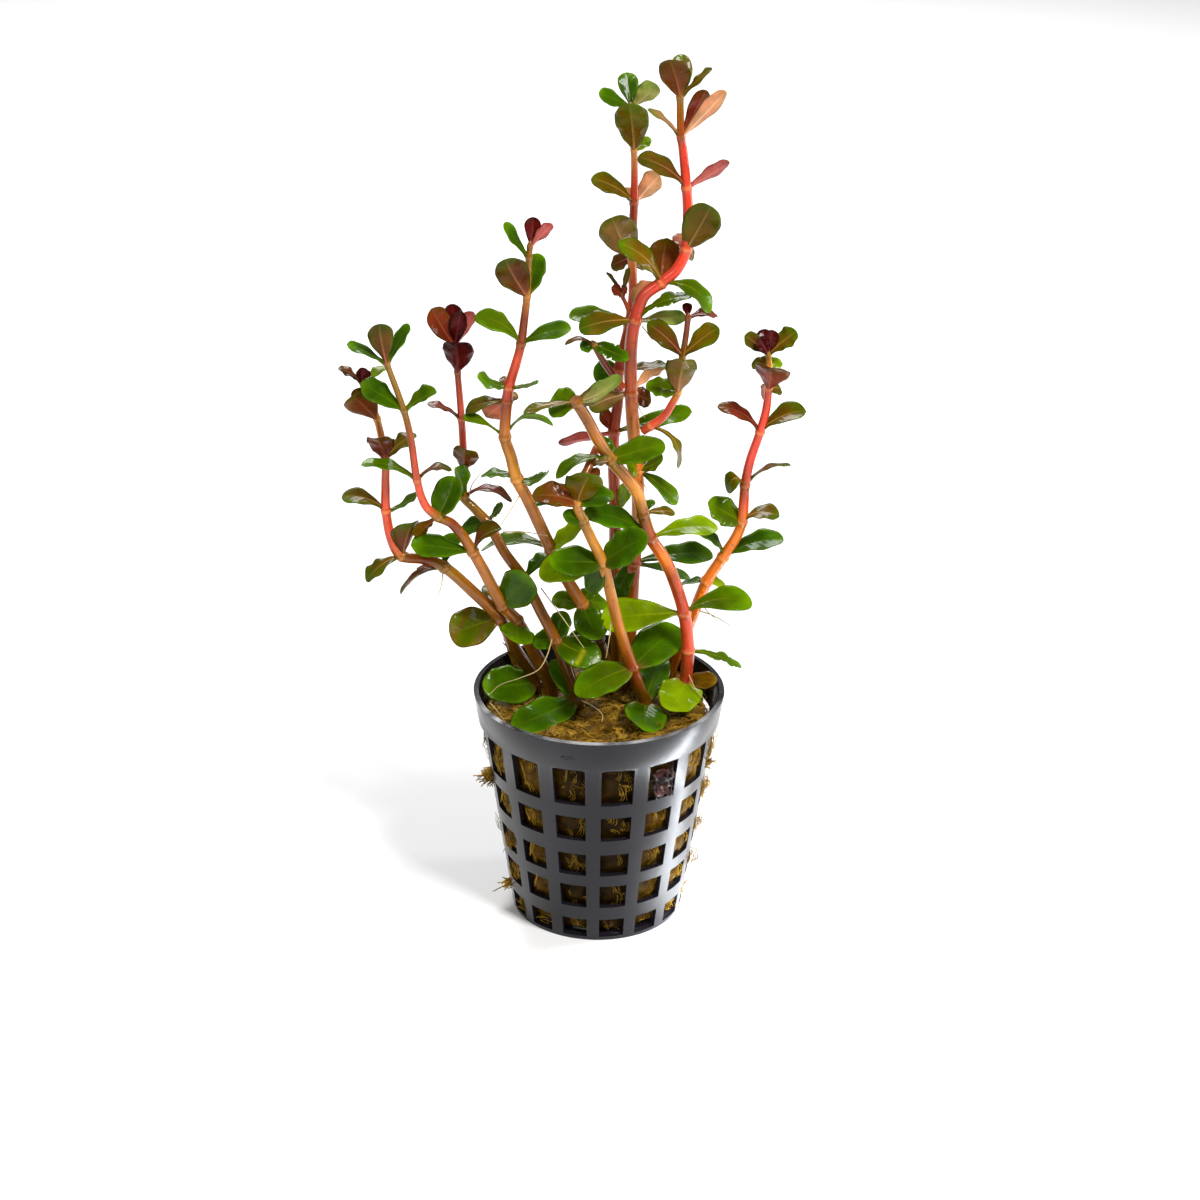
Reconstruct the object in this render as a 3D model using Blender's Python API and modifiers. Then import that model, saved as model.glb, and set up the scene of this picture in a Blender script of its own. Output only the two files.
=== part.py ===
# Blood red rotala, an aquarium stem plant, in the rock wool and net pot it is sold in.
# Metres, +Z up. The middle of the pot's base is the origin and the viewer is on the -Y side.

import math

import bmesh
import bpy
from mathutils import Matrix, Vector
from mathutils.bvhtree import BVHTree

MM = 0.001
WELD = 0.01 * MM
ON_THE_BASE = 0.1 * MM

# Net pot
RIM_RADIUS = 25.0 * MM
POT_HEIGHT = 48.0 * MM
COLLAR_DROP = 5.8 * MM
COLLAR_STEP = 0.7 * MM
BASE_RADIUS = 17.4 * MM
BASE_HUB = 6.0 * MM
BASE_SLOT_END = 15.2 * MM
POT_WALL = 1.0 * MM
COLUMNS = 15
STEPS_PER_COLUMN = 3
FIRST_HOLE = math.radians(-22.3)
HOLE_ROWS = [(0.8, 5.1), (8.2, 13.5), (16.1, 21.3), (24.7, 30.2), (33.2, 41.3)]
BASE_SLOTS = 9
HOLE_SHARE = 2 / 3
BASE_SLOT_SHARE = 3 / 5

# Rock wool
WOOL_BASE = 1.6 * MM
WOOL_TOP = 43.6 * MM
WOOL_RISE = 0.9 * MM
WOOL_WAVES = (210, 260, 390)
WOOL_SHIFTS = (1.0, 2.0)
WOOL_GAP = 0.4 * MM
WOOL_STEPS = 24
WOOL_EDGE = 17.5 * MM
WOOL_PULL = 0.45
ROOT_DEPTH = 8.0 * MM
SOCKET_GAP = 0.38 * MM
STEM_END = 1.0 * MM

# Leaves
LEAF_THICKNESS = 0.6 * MM
LEAF_GAP = 0.45 * MM
SMALL_LEAF = 5.05 * MM
BLADE_START = 0.3
LEVEL_LEAF = 0.15
DEPTH_TRIES = [0, 1, -1, 2, -2, 3, -3, 4, -4, 5, -5, 6, -6, 7, -7]

# The photograph's viewpoint, which turns a reading into a place
FRAME_MIDDLE = 600
FOCAL_LENGTH = 2400
LOOK_DOWN = math.radians(24.15)
LOOK_ROLL = math.radians(0.63)
LOOK_HEIGHT = 67.1 * MM
EYE_DISTANCE = 470.9 * MM

# How wide each form of leaf is along its length, as (place, share of the width)
LEAF_FORMS = {
    "oval": [(0.28, 0.82), (0.56, 1.0), (0.86, 0.62)],
    "round": [(0.30, 0.70), (0.62, 1.0), (0.88, 0.66)],
    "spoon": [(0.34, 0.40), (0.68, 1.0), (0.90, 0.62)],
    "paddle": [(0.50, 0.24), (0.76, 1.0), (0.92, 0.60)],
    "heart": [(0.14, 0.85), (0.50, 1.0), (0.84, 0.68)],
}

# Each shoot's stem is a list of readings: across and down in the 1200 by 1200 photograph,
# then millimetres behind the pot's axis. girth is its thickness in millimetres, from low to top.
# A leaf is: the stem point it grows from, its tip's reading, its width in millimetres, the
# turn of its upper side in degrees (0 faces the viewer, 90 faces up, 180 faces away), its
# arch and its cup as shares of its length and half width, and its form.
SHOOTS = {
    "far_left_shoot": {
        "girth": (2.5, 0.9),
        "rooted": True,
        "colour": (0.1, 0.12, 0.02),
        "stem": [
            (536, 683, 7.5), (516, 650, 6.5), (500, 619, 5), (470, 589, 3),
            (444, 567, 2), (424, 559, 1), (402, 556, 0.5), (392, 541, 0),
            (386, 511, 0), (385.5, 485, 0), (385, 460, 0), (377, 419, -0.5),
            (363, 384, -1),
        ],
        "leaves": [
            (0, 484, 688, 0, 8.6, 25, 0.04, 0.08, "oval"),
            (2, 450, 636, 3, 8.5, 20, 0.02, 0.08, "round"),
            (4, 455, 533, 6, 5, 45, 0.05, 0.1, "spoon"),
            (4, 401, 595, -1.5, 4.5, 74, 0.16, 0.2, "spoon"),
            (4, 417, 567, 4, 3.4, 60, 0.05, 0.1, "spoon"),
            (6, 411, 522, -3, 6, 150, 0, 0.45, "spoon"),
            (6, 366, 581, -2.5, 5.5, 57, 0.12, 0.1, "spoon"),
            (8, 342, 496, -1, 5, 55, 0.12, 0.1, "spoon"),
            (8, 418, 492, 2, 4.4, 72, -0.08, 0.1, "spoon"),
            (10, 377, 437, -6, 5.2, 168, 0.05, 0.3, "round"),
            (10, 415, 433, 2.5, 5.5, 55, 0.05, 0.1, "spoon"),
            (11, 353, 396, -5, 6, 165, 0.05, 0.3, "round"),
            (11, 355, 389, 2.5, 4.5, 30, 0, 0.1, "spoon"),
            (12, 385, 366, 2, 3.4, 62, 0.05, 0.1, "spoon"),
            (12, 339, 367, -1, 3.6, 66, 0.05, 0.1, "spoon"),
            (12, 361, 368, -0.8, 2.4, 15, 0, 0.2, "spoon"),
            (12, 367, 370, 0.8, 2.2, 20, 0, 0.2, "spoon"),
        ],
    },
    "left_shoot": {
        "girth": (2.8, 1.1),
        "rooted": True,
        "colour": (0.08, 0.13, 0.02),
        "stem": [
            (550, 684, 5), (533, 650, 4.5), (517, 621, 4), (503, 606, 3.5),
            (484, 571, 2), (473, 552, 1), (462, 535, 0), (451, 523, -1),
            (438, 517, -2), (425, 505, -3), (417, 480, -4), (411, 440, -5),
            (404, 411, -5), (387, 364, -6),
        ],
        "leaves": [
            (2, 518, 643, -0.5, 7.6, 25, 0, 0.05, "round"),
            (3, 530, 578, -1.5, 8, 12, 0, 0.06, "round"),
            (3, 488, 584, 6, 5, 30, 0, 0.1, "oval"),
            (5, 411, 545, -2, 6, 38, 0.05, 0.1, "spoon"),
            (5, 502, 529, 1, 6, 60, 0.15, 0.4, "spoon"),
            (8, 456, 477, 1, 6, 25, 0, 0.4, "oval"),
            (8, 416, 537, -1, 4.5, 120, 0.08, 0.1, "spoon"),
            (10, 361, 465, -4, 5, 61, 0.12, 0.1, "spoon"),
            (10, 452, 470, -3, 4.5, 76, 0.2, 0.1, "spoon"),
            (12, 361, 384, -6, 5.6, 38, 0.05, 0.1, "spoon"),
            (12, 437, 392, -5, 5, 58, 0.05, 0.4, "spoon"),
            (13, 347, 344, -7, 4, 66, 0.03, 0.1, "spoon"),
            (13, 379, 324, -9, 4.8, 172, 0, 0.1, "spoon"),
            (13, 407, 323, -2.5, 3.6, 50, -0.05, 0.1, "spoon"),
        ],
    },
    "maroon_tip_shoot": {
        "girth": (2.5, 1),
        "rooted": True,
        "colour": (0.14, 0.05, 0.03),
        "stem": [
            (577, 700, -0.5), (569, 675, 0.5), (556, 641, 1.5), (540, 610, 2.5),
            (524, 579, 3.5), (505, 553, 4.5), (487, 522, 5.5), (474, 508, 6),
            (464, 497, 6.5), (464, 469, 7), (461.5, 419, 7.5), (457.5, 372, 7.5),
            (455, 347, 7.5),
        ],
        "leaves": [
            (0, 552, 660, 2, 4.6, 15, 0, 0.1, "oval"),
            (0, 513, 728, -12, 8, 36, 0.03, 0.08, "oval"),
            (2, 600, 661, -2, 7, 25, 0.05, 0.08, "oval"),
            (2, 533, 640, 5, 5, 30, 0, 0.1, "oval"),
            (2, 564, 611, 4, 5, 25, 0, 0.1, "oval"),
            (4, 549, 553, 6, 5, 52, 0.05, 0.1, "spoon"),
            (6, 460, 529, 8, 4.5, 40, 0, 0.1, "oval"),
            (6, 503, 505, 4, 3.6, 62, 0, 0.1, "spoon"),
            (8, 512, 500, 5, 4, 62, 0.25, 0.1, "spoon"),
            (8, 455, 468, 4, 5.2, 48, 0.05, 0.3, "spoon"),
            (9, 466, 450, 1, 5.4, 172, 0, 0.3, "round"),
            (10, 428, 403, 6, 3.5, 74, 0.08, 0.1, "spoon"),
            (11, 456, 343, 2.5, 6, 172, 0, 0.35, "round"),
            (12, 431, 309, 5.5, 5, 30, 0, 0.2, "spoon"),
            (12, 452, 304, 9, 3.9, 10, 0, 0.2, "spoon"),
            (12, 444, 315, 7, 2.8, 30, 0, 0.3, "spoon"),
            (12, 461, 312, 6, 3.6, 15, 0, 0.3, "spoon"),
            (12, 472, 311, 8.5, 3.4, 150, 0, 0.2, "spoon"),
        ],
    },
    "middle_shoot": {
        "girth": (2.4, 2.3, 2.2, 1.6, 0.9),
        "rooted": True,
        "colour": (0.11, 0.12, 0.02),
        "stem": [
            (608, 676, 6.5), (598, 640, 5.5), (582, 604, 5), (566, 578, 4.5),
            (551, 549, 3.5), (539, 523, 3), (526, 496, 2.5), (517, 479, 2),
            (511, 457, 2), (505, 437, 1.5), (507, 401, 1), (509, 387, 0.5),
            (516.5, 362, 0), (521, 344, 0), (524.5, 318, 0), (527, 296, 0),
            (529, 258, 0), (530, 246, 0),
        ],
        "leaves": [
            (1, 568, 641, 4.5, 5.5, 35, 0.05, 0.1, "oval"),
            (2, 552, 598, 6, 5, 36, 0, 0.1, "oval"),
            (2, 607, 603, 7, 4.5, 35, 0.05, 0.1, "oval"),
            (2, 599, 640, 3, 6.5, 15, 0, 0.1, "oval"),
            (2, 591, 587, 7, 3.6, 25, 0, 0.1, "oval"),
            (4, 483, 550, 7, 5.5, 58, 0.12, 0.15, "spoon"),
            (4, 583, 527, 2, 5, 48, 0, 0.3, "oval"),
            (7, 481, 476, 2.5, 5, 65, 0.1, 0.1, "spoon"),
            (7, 548, 473, -1, 5.5, 60, -0.15, 0.1, "spoon"),
            (9, 464, 415, 1, 3.2, 50, 0.1, 0.1, "paddle"),
            (9, 553, 426, 0, 4.5, 74, 0.3, 0.1, "spoon"),
            (10, 465, 409, 3, 5, 60, 0.05, 0.1, "spoon"),
            (10, 486, 417, 6, 5, 160, 0, 0.1, "oval"),
            (10, 516, 393, 3.5, 2.4, 20, 0, 0.1, "oval"),
            (11, 478, 377, -2, 5, 64, -0.05, 0.1, "spoon"),
            (11, 537, 382, -2, 4.5, 78, -0.06, 0.1, "spoon"),
            (11, 503, 376, 2.5, 2.4, 20, 0, 0.1, "oval"),
            (13, 475, 316, -1, 5, 45, 0.15, 0.1, "spoon"),
            (13, 571, 328, -1, 5, 47, 0.1, 0.1, "spoon"),
            (15, 505, 259, -5, 6.2, 170, 0, 0.12, "round"),
            (15, 538, 253, 4.5, 5, 30, 0, 0.1, "oval"),
            (16, 504, 223, -0.5, 3.6, 58, 0, 0.1, "spoon"),
            (17, 533, 217, 0.5, 3.2, 10, 0, 0.1, "spoon"),
            (17, 552, 224, 0, 3.2, 138, 0, 0.1, "spoon"),
        ],
    },
    "tall_shoot": {
        "girth": (2.4, 0.9),
        "rooted": True,
        "colour": (0.16, 0.09, 0.03),
        "stem": [
            (616, 660, 12), (617, 600, 12.5), (615, 560, 13), (615, 507, 13.5),
            (613.5, 465, 14), (614, 432, 14.5), (618, 400, 15), (619, 370, 15.5),
            (629, 325, 16), (633, 295, 16.5), (632, 257, 17), (634, 203, 17.5),
            (634.5, 180, 18), (634, 150, 18), (631, 107, 18),
        ],
        "leaves": [
            (3, 629, 484, 12, 3.5, 35, 0, 0.1, "oval"),
            (5, 600, 410, 13, 3.4, 30, 0, 0.2, "spoon"),
            (5, 558, 442, 13, 4.6, 120, 0, 0.1, "spoon"),
            (5, 692, 412, 12, 5, 45, 0, 0.1, "spoon"),
            (7, 669, 366, 14, 4.6, 60, 0.03, 0.1, "spoon"),
            (7, 593, 374, 16, 5.5, 30, 0, 0.1, "oval"),
            (8, 569, 316, 14, 5.5, 45, 0.08, 0.1, "spoon"),
            (10, 612, 217, 11, 7.4, 170, 0, 0.12, "round"),
            (10, 611, 266, 20, 3.6, 30, 0, 0.1, "oval"),
            (10, 646, 266, 20, 3.2, 30, 0, 0.1, "oval"),
            (11, 591, 179, 16, 5, 52, 0.12, 0.1, "spoon"),
            (11, 660, 175, 21, 4.8, 145, 0, 0.1, "spoon"),
            (11, 626, 187, 19.5, 2.6, 30, 0, 0.1, "oval"),
            (13, 629, 103, 13, 6.4, 174, 0, 0.15, "round"),
            (13, 649, 137, 20.5, 3.4, 40, 0, 0.1, "oval"),
            (14, 627, 72, 21, 4, 12, 0, 0.1, "spoon"),
            (14, 599, 93, 15.5, 3.8, 42, 0, 0.1, "spoon"),
            (14, 656, 84, 16, 4.4, 150, 0, 0.15, "spoon"),
        ],
    },
    "tallest_shoot": {
        "girth": (2.5, 1),
        "rooted": True,
        "colour": (0.16, 0.09, 0.03),
        "stem": [
            (628, 672, 9), (631, 620, 8), (634, 563, 7), (638, 515, 6.5),
            (637, 470, 6), (634, 437, 5.5), (631, 393, 5), (631, 350, 5),
            (635, 321, 5), (644, 296, 5.5), (661, 283, 6), (677, 269, 6.5),
            (686, 249, 7), (688, 215, 7), (686.5, 188, 7.5), (683, 150, 8),
            (681, 137, 8), (680, 97, 8.5),
        ],
        "leaves": [
            (2, 713, 556, 9, 6, 48, 0.08, 0.1, "spoon"),
            (2, 610, 540, 9, 5, 40, 0.05, 0.1, "spoon"),
            (2, 690, 577, 11, 5.5, 68, 0.03, 0.1, "spoon"),
            (2, 616, 601, 7.5, 4.5, 30, 0.1, 0.1, "oval"),
            (4, 677, 504, 5, 4.6, 48, 0.08, 0.1, "spoon"),
            (4, 663, 459, 3, 4.2, 55, -0.05, 0.1, "spoon"),
            (4, 628, 464, 2, 4, 35, 0.05, 0.1, "oval"),
            (4, 648, 448, 7, 2.8, 30, 0, 0.1, "oval"),
            (6, 664, 368, 5, 4, 120, 0.1, 0.1, "spoon"),
            (6, 589, 408, 3.5, 5, 40, 0.05, 0.1, "spoon"),
            (6, 651, 402, 6.5, 4, 25, 0, 0.1, "oval"),
            (8, 579, 329, 3, 6, 43, 0.1, 0.1, "spoon"),
            (8, 692, 296, 4, 4.6, 58, 0.12, 0.1, "spoon"),
            (8, 686, 315, 8, 4, 45, 0, 0.1, "spoon"),
            (10, 619, 242, 3.5, 5.2, 40, 0.14, 0.1, "spoon"),
            (10, 711, 312, 6, 5.2, 48, 0.22, 0.1, "spoon"),
            (10, 630, 299, 8, 4.6, 35, 0, 0.1, "spoon"),
            (10, 667, 238, 11, 6.2, 168, 0, 0.1, "round"),
            (12, 711, 206, 4, 7, 172, 0, 0.1, "round"),
            (12, 677, 233, 9, 3, 30, 0, 0.1, "oval"),
            (12, 694, 257, 9.5, 3, 40, 0, 0.1, "oval"),
            (14, 638, 157, 6.5, 5.2, 50, 0.12, 0.1, "spoon"),
            (14, 729, 161, 8, 4, 130, 0, 0.1, "spoon"),
            (16, 649, 108, 7.5, 3.4, 74, 0.05, 0.1, "spoon"),
            (16, 725, 90, 7.5, 5.2, 148, 0, 0.15, "spoon"),
            (16, 706, 90, 9.5, 3.6, 15, 0, 0.1, "spoon"),
            (17, 669, 59, 4.5, 5.6, 172, 0, 0.12, "round"),
            (17, 682, 54, 12, 4.2, 12, 0, 0.1, "round"),
            (17, 711, 67, 8.5, 3.4, 66, 0, 0.1, "spoon"),
        ],
    },
    "small_side_shoot": {
        "girth": (0.9, 0.6),
        "rooted": False,
        "colour": (0.16, 0.05, 0.03),
        "stem": [
            (629, 312, 6), (626, 304, 6.5), (622, 296, 7),
        ],
        "leaves": [
            (2, 612, 287, 6, 2.6, 30, 0, 0.2, "spoon"),
            (2, 626, 286, 6.5, 2, 40, 0, 0.2, "spoon"),
            (2, 607, 272, 7, 1.8, 70, 0.05, 0.1, "spoon"),
            (2, 629, 268, 8, 2.2, 60, 0, 0.1, "spoon"),
        ],
    },
    "left_side_shoot": {
        "girth": (1.5, 1.1),
        "rooted": False,
        "colour": (0.08, 0.12, 0.02),
        "stem": [
            (623, 388, 4), (613, 375, 4), (603, 361, 3.5), (594, 345, 3),
        ],
        "leaves": [
            (3, 628, 360, 1, 4.5, 40, 0, 0.1, "oval"),
            (3, 565, 344, 2, 3, 70, 0.2, 0.1, "spoon"),
            (3, 580, 348, 2.5, 3.5, 45, 0, 0.1, "oval"),
        ],
    },
    "right_side_shoot": {
        "girth": (1.7, 1),
        "rooted": False,
        "colour": (0.13, 0.07, 0.02),
        "stem": [
            (643, 431, 5), (651, 426, 4.5), (664, 416, 4), (672, 404, 3.5),
            (678, 392, 3.5), (681, 372, 3.5), (682.5, 357, 3.5), (686, 335, 3.5),
            (688, 318, 3.5),
        ],
        "leaves": [
            (1, 678, 469, 2, 4, 64, 0.25, 0.1, "spoon"),
            (4, 646, 384, 4.5, 5.5, 45, 0, 0.1, "oval"),
            (4, 684, 361, -2.5, 6, 172, 0, 0.4, "round"),
            (6, 648, 323, 2.5, 5.4, 38, 0.1, 0.1, "spoon"),
            (6, 719, 328, 3, 5, 40, 0.05, 0.15, "spoon"),
            (8, 717, 314, 3.5, 3.4, 55, 0.1, 0.1, "spoon"),
            (8, 687, 303, 3.5, 2, 20, 0, 0.2, "spoon"),
        ],
    },
    "cut_top_shoot": {
        "girth": (2.6, 2.2),
        "rooted": True,
        "colour": (0.08, 0.14, 0.01),
        "stem": [
            (686, 680, 4), (688, 650, 3), (684, 613, 2), (672, 575, 1),
            (662, 555, 0), (651, 538, -1), (643, 514, -2), (637, 493, -3),
            (625, 476, -4), (611, 460, -5), (598, 440, -6), (588, 421, -7),
            (577, 403, -8),
        ],
        "leaves": [
            (0, 670, 711, -6, 8.8, 10, 0, 0.08, "heart"),
            (0, 717, 680, 4, 4.4, 40, 0, 0.1, "oval"),
            (1, 741, 668, 4, 4.4, 62, 0.06, 0.1, "spoon"),
            (2, 601, 618, -2, 7.6, 28, 0.05, 0.25, "spoon"),
            (2, 752, 602, 1, 6.5, 45, 0.14, 0.1, "spoon"),
            (5, 583, 513, -4, 6, 42, 0.12, 0.1, "spoon"),
            (5, 718, 528, -1, 6, 46, 0.1, 0.1, "spoon"),
            (6, 652, 499, -1.5, 2.2, 30, 0, 0.1, "spoon"),
            (6, 675, 513, -1, 2.8, 50, 0.1, 0.1, "spoon"),
            (6, 641, 497, -1, 2.2, 20, 0, 0.1, "spoon"),
            (9, 556, 478, -6, 4.4, 62, 0.2, 0.1, "spoon"),
            (9, 594, 463, -5.5, 3, 130, 0, 0.1, "oval"),
            (9, 665, 444, -4, 6, 36, 0.05, 0.12, "oval"),
            (9, 600, 436, -5, 3.4, 20, 0, 0.1, "oval"),
            (12, 621, 376, -7, 5, 50, -0.1, 0.3, "oval"),
            (12, 523, 411, -9, 4, 68, 0.05, 0.1, "spoon"),
            (12, 549, 403, -6, 6.6, 30, 0, 0.1, "oval"),
            (12, 603, 392, -5, 4, 140, 0, 0.1, "oval"),
        ],
    },
    "centre_shoot": {
        "girth": (2.6, 1.6),
        "rooted": True,
        "colour": (0.08, 0.14, 0.01),
        "stem": [
            (645, 703, -1), (640, 690, -1.5), (632, 668, -2), (620, 630, -3.5),
            (612, 600, -4.5), (603, 563, -6), (592, 540, -7), (583, 520, -7.5),
            (577, 503, -8), (586, 474, -6), (595, 452, -3),
        ],
        "leaves": [
            (0, 661, 655, 3, 6.5, 20, 0, 0.1, "oval"),
            (0, 646, 730, -12.5, 8.8, 15, 0, 0.1, "heart"),
            (2, 680, 627, 4.5, 8.6, 20, 0.03, 0.08, "oval"),
            (2, 576, 694, -9, 7.6, 28, 0.05, 0.1, "oval"),
            (5, 550, 561, -8, 7, 33, 0.03, 0.1, "oval"),
            (5, 648, 537, -6, 7.6, 28, 0.05, 0.1, "oval"),
            (5, 539, 573, -3, 7.4, 30, 0.05, 0.1, "oval"),
            (5, 586, 592, -3, 5, 25, 0, 0.1, "oval"),
            (7, 563, 514, -9, 3, 15, 0, 0.1, "oval"),
            (8, 532, 496, -9, 5.5, 30, 0.15, 0.3, "oval"),
            (8, 535, 505, -10, 4.4, 60, 0.1, 0.1, "spoon"),
            (8, 590, 474, -12, 7.2, 170, 0, 0.15, "round"),
            (8, 614, 495, -8, 5.5, 40, 0.05, 0.1, "oval"),
            (9, 600, 474, -7.5, 3, 40, 0, 0.1, "oval"),
        ],
    },
    "right_shoot": {
        "girth": (2.2, 0.9),
        "rooted": True,
        "colour": (0.16, 0.09, 0.02),
        "stem": [
            (671, 672, 12.5), (683, 640, 11), (694, 612, 9.5), (707, 581, 8),
            (723, 557, 6.5), (736, 537, 5.5), (742, 521, 4.5), (744, 500, 4),
            (745, 485, 3.5), (750, 461, 3), (760, 432, 2), (766, 410, 1.5),
            (768.5, 388, 1), (769, 366, 1), (768.5, 355, 1),
        ],
        "leaves": [
            (3, 678, 585, 8, 4.5, 66, 0.05, 0.1, "spoon"),
            (3, 725, 583, 10, 4, 55, 0, 0.1, "oval"),
            (4, 698, 531, 5, 4, 62, 0.18, 0.1, "spoon"),
            (4, 783, 538, 5, 6, 46, 0.08, 0.15, "spoon"),
            (6, 709, 502, 3, 6, 28, 0, 0.1, "oval"),
            (6, 779, 515, 2.5, 5.4, 58, 0.15, 0.15, "spoon"),
            (8, 727, 492, 2.5, 4.6, 40, 0.75, 0.1, "spoon"),
            (8, 791, 466, 2.5, 3.4, 74, 0.15, 0.1, "spoon"),
            (10, 719, 405, 1, 4.6, 58, 0.14, 0.1, "spoon"),
            (10, 806, 411, 1, 5.2, 48, 0.1, 0.3, "spoon"),
            (12, 771, 367, -6, 6.8, 172, 0, 0.35, "round"),
            (12, 762, 395, 3.5, 3, 30, 0, 0.1, "oval"),
            (12, 781, 388, 3.5, 3.4, 30, 0, 0.1, "oval"),
            (13, 753, 361, 3, 3.6, 30, 0, 0.1, "oval"),
            (13, 780, 360, 3, 3, 30, 0, 0.1, "oval"),
            (14, 745, 335, 0.5, 3.6, 40, 0, 0.15, "spoon"),
            (14, 763, 329, 3, 3, 15, 0, 0.1, "spoon"),
            (14, 759, 338, -0.5, 3, 20, 0, 0.3, "spoon"),
            (14, 772, 330, 1, 3, 15, 0, 0.2, "spoon"),
            (14, 796, 331, 0.5, 4.6, 40, 0, 0.15, "spoon"),
        ],
    },
}


def eye_and_axes():
    """Where the viewer's eye is, and its forward, right and up directions."""
    forward = Vector((0, math.cos(LOOK_DOWN), -math.sin(LOOK_DOWN)))
    level = Vector((1, 0, 0))
    upright = level.cross(forward)
    right = level * math.cos(LOOK_ROLL) + upright * math.sin(LOOK_ROLL)
    up = upright * math.cos(LOOK_ROLL) - level * math.sin(LOOK_ROLL)
    return Vector((0, 0, LOOK_HEIGHT)) - forward * EYE_DISTANCE, forward, right, up


EYE, FORWARD, RIGHT, UP = eye_and_axes()


def place(across, down, back):
    """The point that a reading stands for."""
    ray = FORWARD + RIGHT * ((across - FRAME_MIDDLE) / FOCAL_LENGTH)
    ray = ray - UP * ((down - FRAME_MIDDLE) / FOCAL_LENGTH)
    return EYE + ray * ((back * MM - EYE.y) / ray.y)


def mesh_from(name, points, faces):
    mesh = bpy.data.meshes.new(name)
    mesh.from_pydata(points, [], faces)
    shell = bmesh.new()
    shell.from_mesh(mesh)
    bmesh.ops.recalc_face_normals(shell, faces=shell.faces)
    shell.to_mesh(mesh)
    shell.free()
    return mesh


def add_object(name, data, collection):
    made = bpy.data.objects.new(name, data)
    collection.objects.link(made)
    return made


def add_collection(name, parent, hidden=False):
    made = bpy.data.collections.new(name)
    made.hide_render = hidden
    parent.children.link(made)
    return made


def hide_helper(helper):
    helper.hide_render = True
    helper.display_type = "WIRE"


def paint(made, colour, roughness):
    material = bpy.data.materials.new(made.name)
    material.use_nodes = True
    surface = material.node_tree.nodes["Principled BSDF"]
    surface.inputs["Base Color"].default_value = (*colour, 1)
    surface.inputs["Roughness"].default_value = roughness
    surface.inputs["Metallic"].default_value = 0
    made.data.materials.append(material)


def shade_smooth(mesh):
    mesh.polygons.foreach_set("use_smooth", [True] * len(mesh.polygons))


def turned(name, profile, steps, collection):
    """An open surface, turned about the upright axis from a profile of (radius, height)."""
    mesh = bpy.data.meshes.new(name)
    points = [(radius, 0, height) for radius, height in profile]
    mesh.from_pydata(points, [(i, i + 1) for i in range(len(points) - 1)], [])
    made = add_object(name, mesh, collection)
    screw = made.modifiers.new("turn", "SCREW")
    screw.steps = screw.render_steps = steps
    screw.use_merge_vertices = True
    screw.merge_threshold = WELD
    bpy.context.view_layer.update()
    graph = bpy.context.evaluated_depsgraph_get()
    surface = bpy.data.meshes.new_from_object(made.evaluated_get(graph))
    made.modifiers.clear()
    made.data = surface
    bpy.data.meshes.remove(mesh)
    surface.name = name
    return made


def wall_radius(height):
    """The pot's outer radius below its collar."""
    collar_foot = POT_HEIGHT - COLLAR_DROP
    taper = (RIM_RADIUS - COLLAR_STEP - BASE_RADIUS) / POT_HEIGHT
    return BASE_RADIUS + taper * min(height, collar_foot)


def step_angle(centre):
    """The angle round the pot of a point, from the front to the viewer's right, from 0 up."""
    return math.atan2(centre.x, -centre.y) % math.tau


def is_opening(centre):
    """Whether the pot's wall or base is open at this point."""
    radius = math.hypot(centre.x, centre.y)
    column = (step_angle(centre) - FIRST_HOLE) % (math.tau / COLUMNS)
    in_row = any(low * MM < centre.z < high * MM for low, high in HOLE_ROWS)
    if in_row and column < HOLE_SHARE * math.tau / COLUMNS:
        return True
    slot = (step_angle(centre) - FIRST_HOLE) % (math.tau / BASE_SLOTS)
    on_base = centre.z < ON_THE_BASE and BASE_HUB < radius < BASE_SLOT_END
    return on_base and slot < BASE_SLOT_SHARE * math.tau / BASE_SLOTS


def build_pot(collection):
    heights = sorted({edge * MM for row in HOLE_ROWS for edge in row})
    profile = [(0, 0), (BASE_HUB, 0), (BASE_SLOT_END, 0), (BASE_RADIUS, 0)]
    profile += [(wall_radius(height), height) for height in heights]
    collar_foot = POT_HEIGHT - COLLAR_DROP
    profile += [(wall_radius(collar_foot) + COLLAR_STEP, collar_foot), (RIM_RADIUS, POT_HEIGHT)]
    pot = turned("net_pot", profile, COLUMNS * STEPS_PER_COLUMN, collection)
    shell = bmesh.new()
    shell.from_mesh(pot.data)
    bmesh.ops.rotate(shell, verts=shell.verts, matrix=Matrix.Rotation(FIRST_HOLE - math.pi / 2, 3, "Z"))
    bmesh.ops.recalc_face_normals(shell, faces=shell.faces)
    openings = [face for face in shell.faces if is_opening(face.calc_center_median())]
    bmesh.ops.delete(shell, geom=openings, context="FACES")
    shell.to_mesh(pot.data)
    shell.free()
    thicken = pot.modifiers.new("wall", "SOLIDIFY")
    thicken.thickness = POT_WALL
    thicken.offset = -1
    thicken.use_even_offset = True
    paint(pot, (0.035, 0.035, 0.045), 0.35)
    return pot


def wool_height(x, y):
    """The wool's uneven top."""
    along_x, along_y, along_both = WOOL_WAVES
    bumps = math.sin(x * along_x + WOOL_SHIFTS[0]) * math.cos(y * along_y)
    bumps += math.sin((x + y) * along_both + WOOL_SHIFTS[1]) / 2
    return WOOL_TOP + WOOL_RISE * bumps


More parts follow.
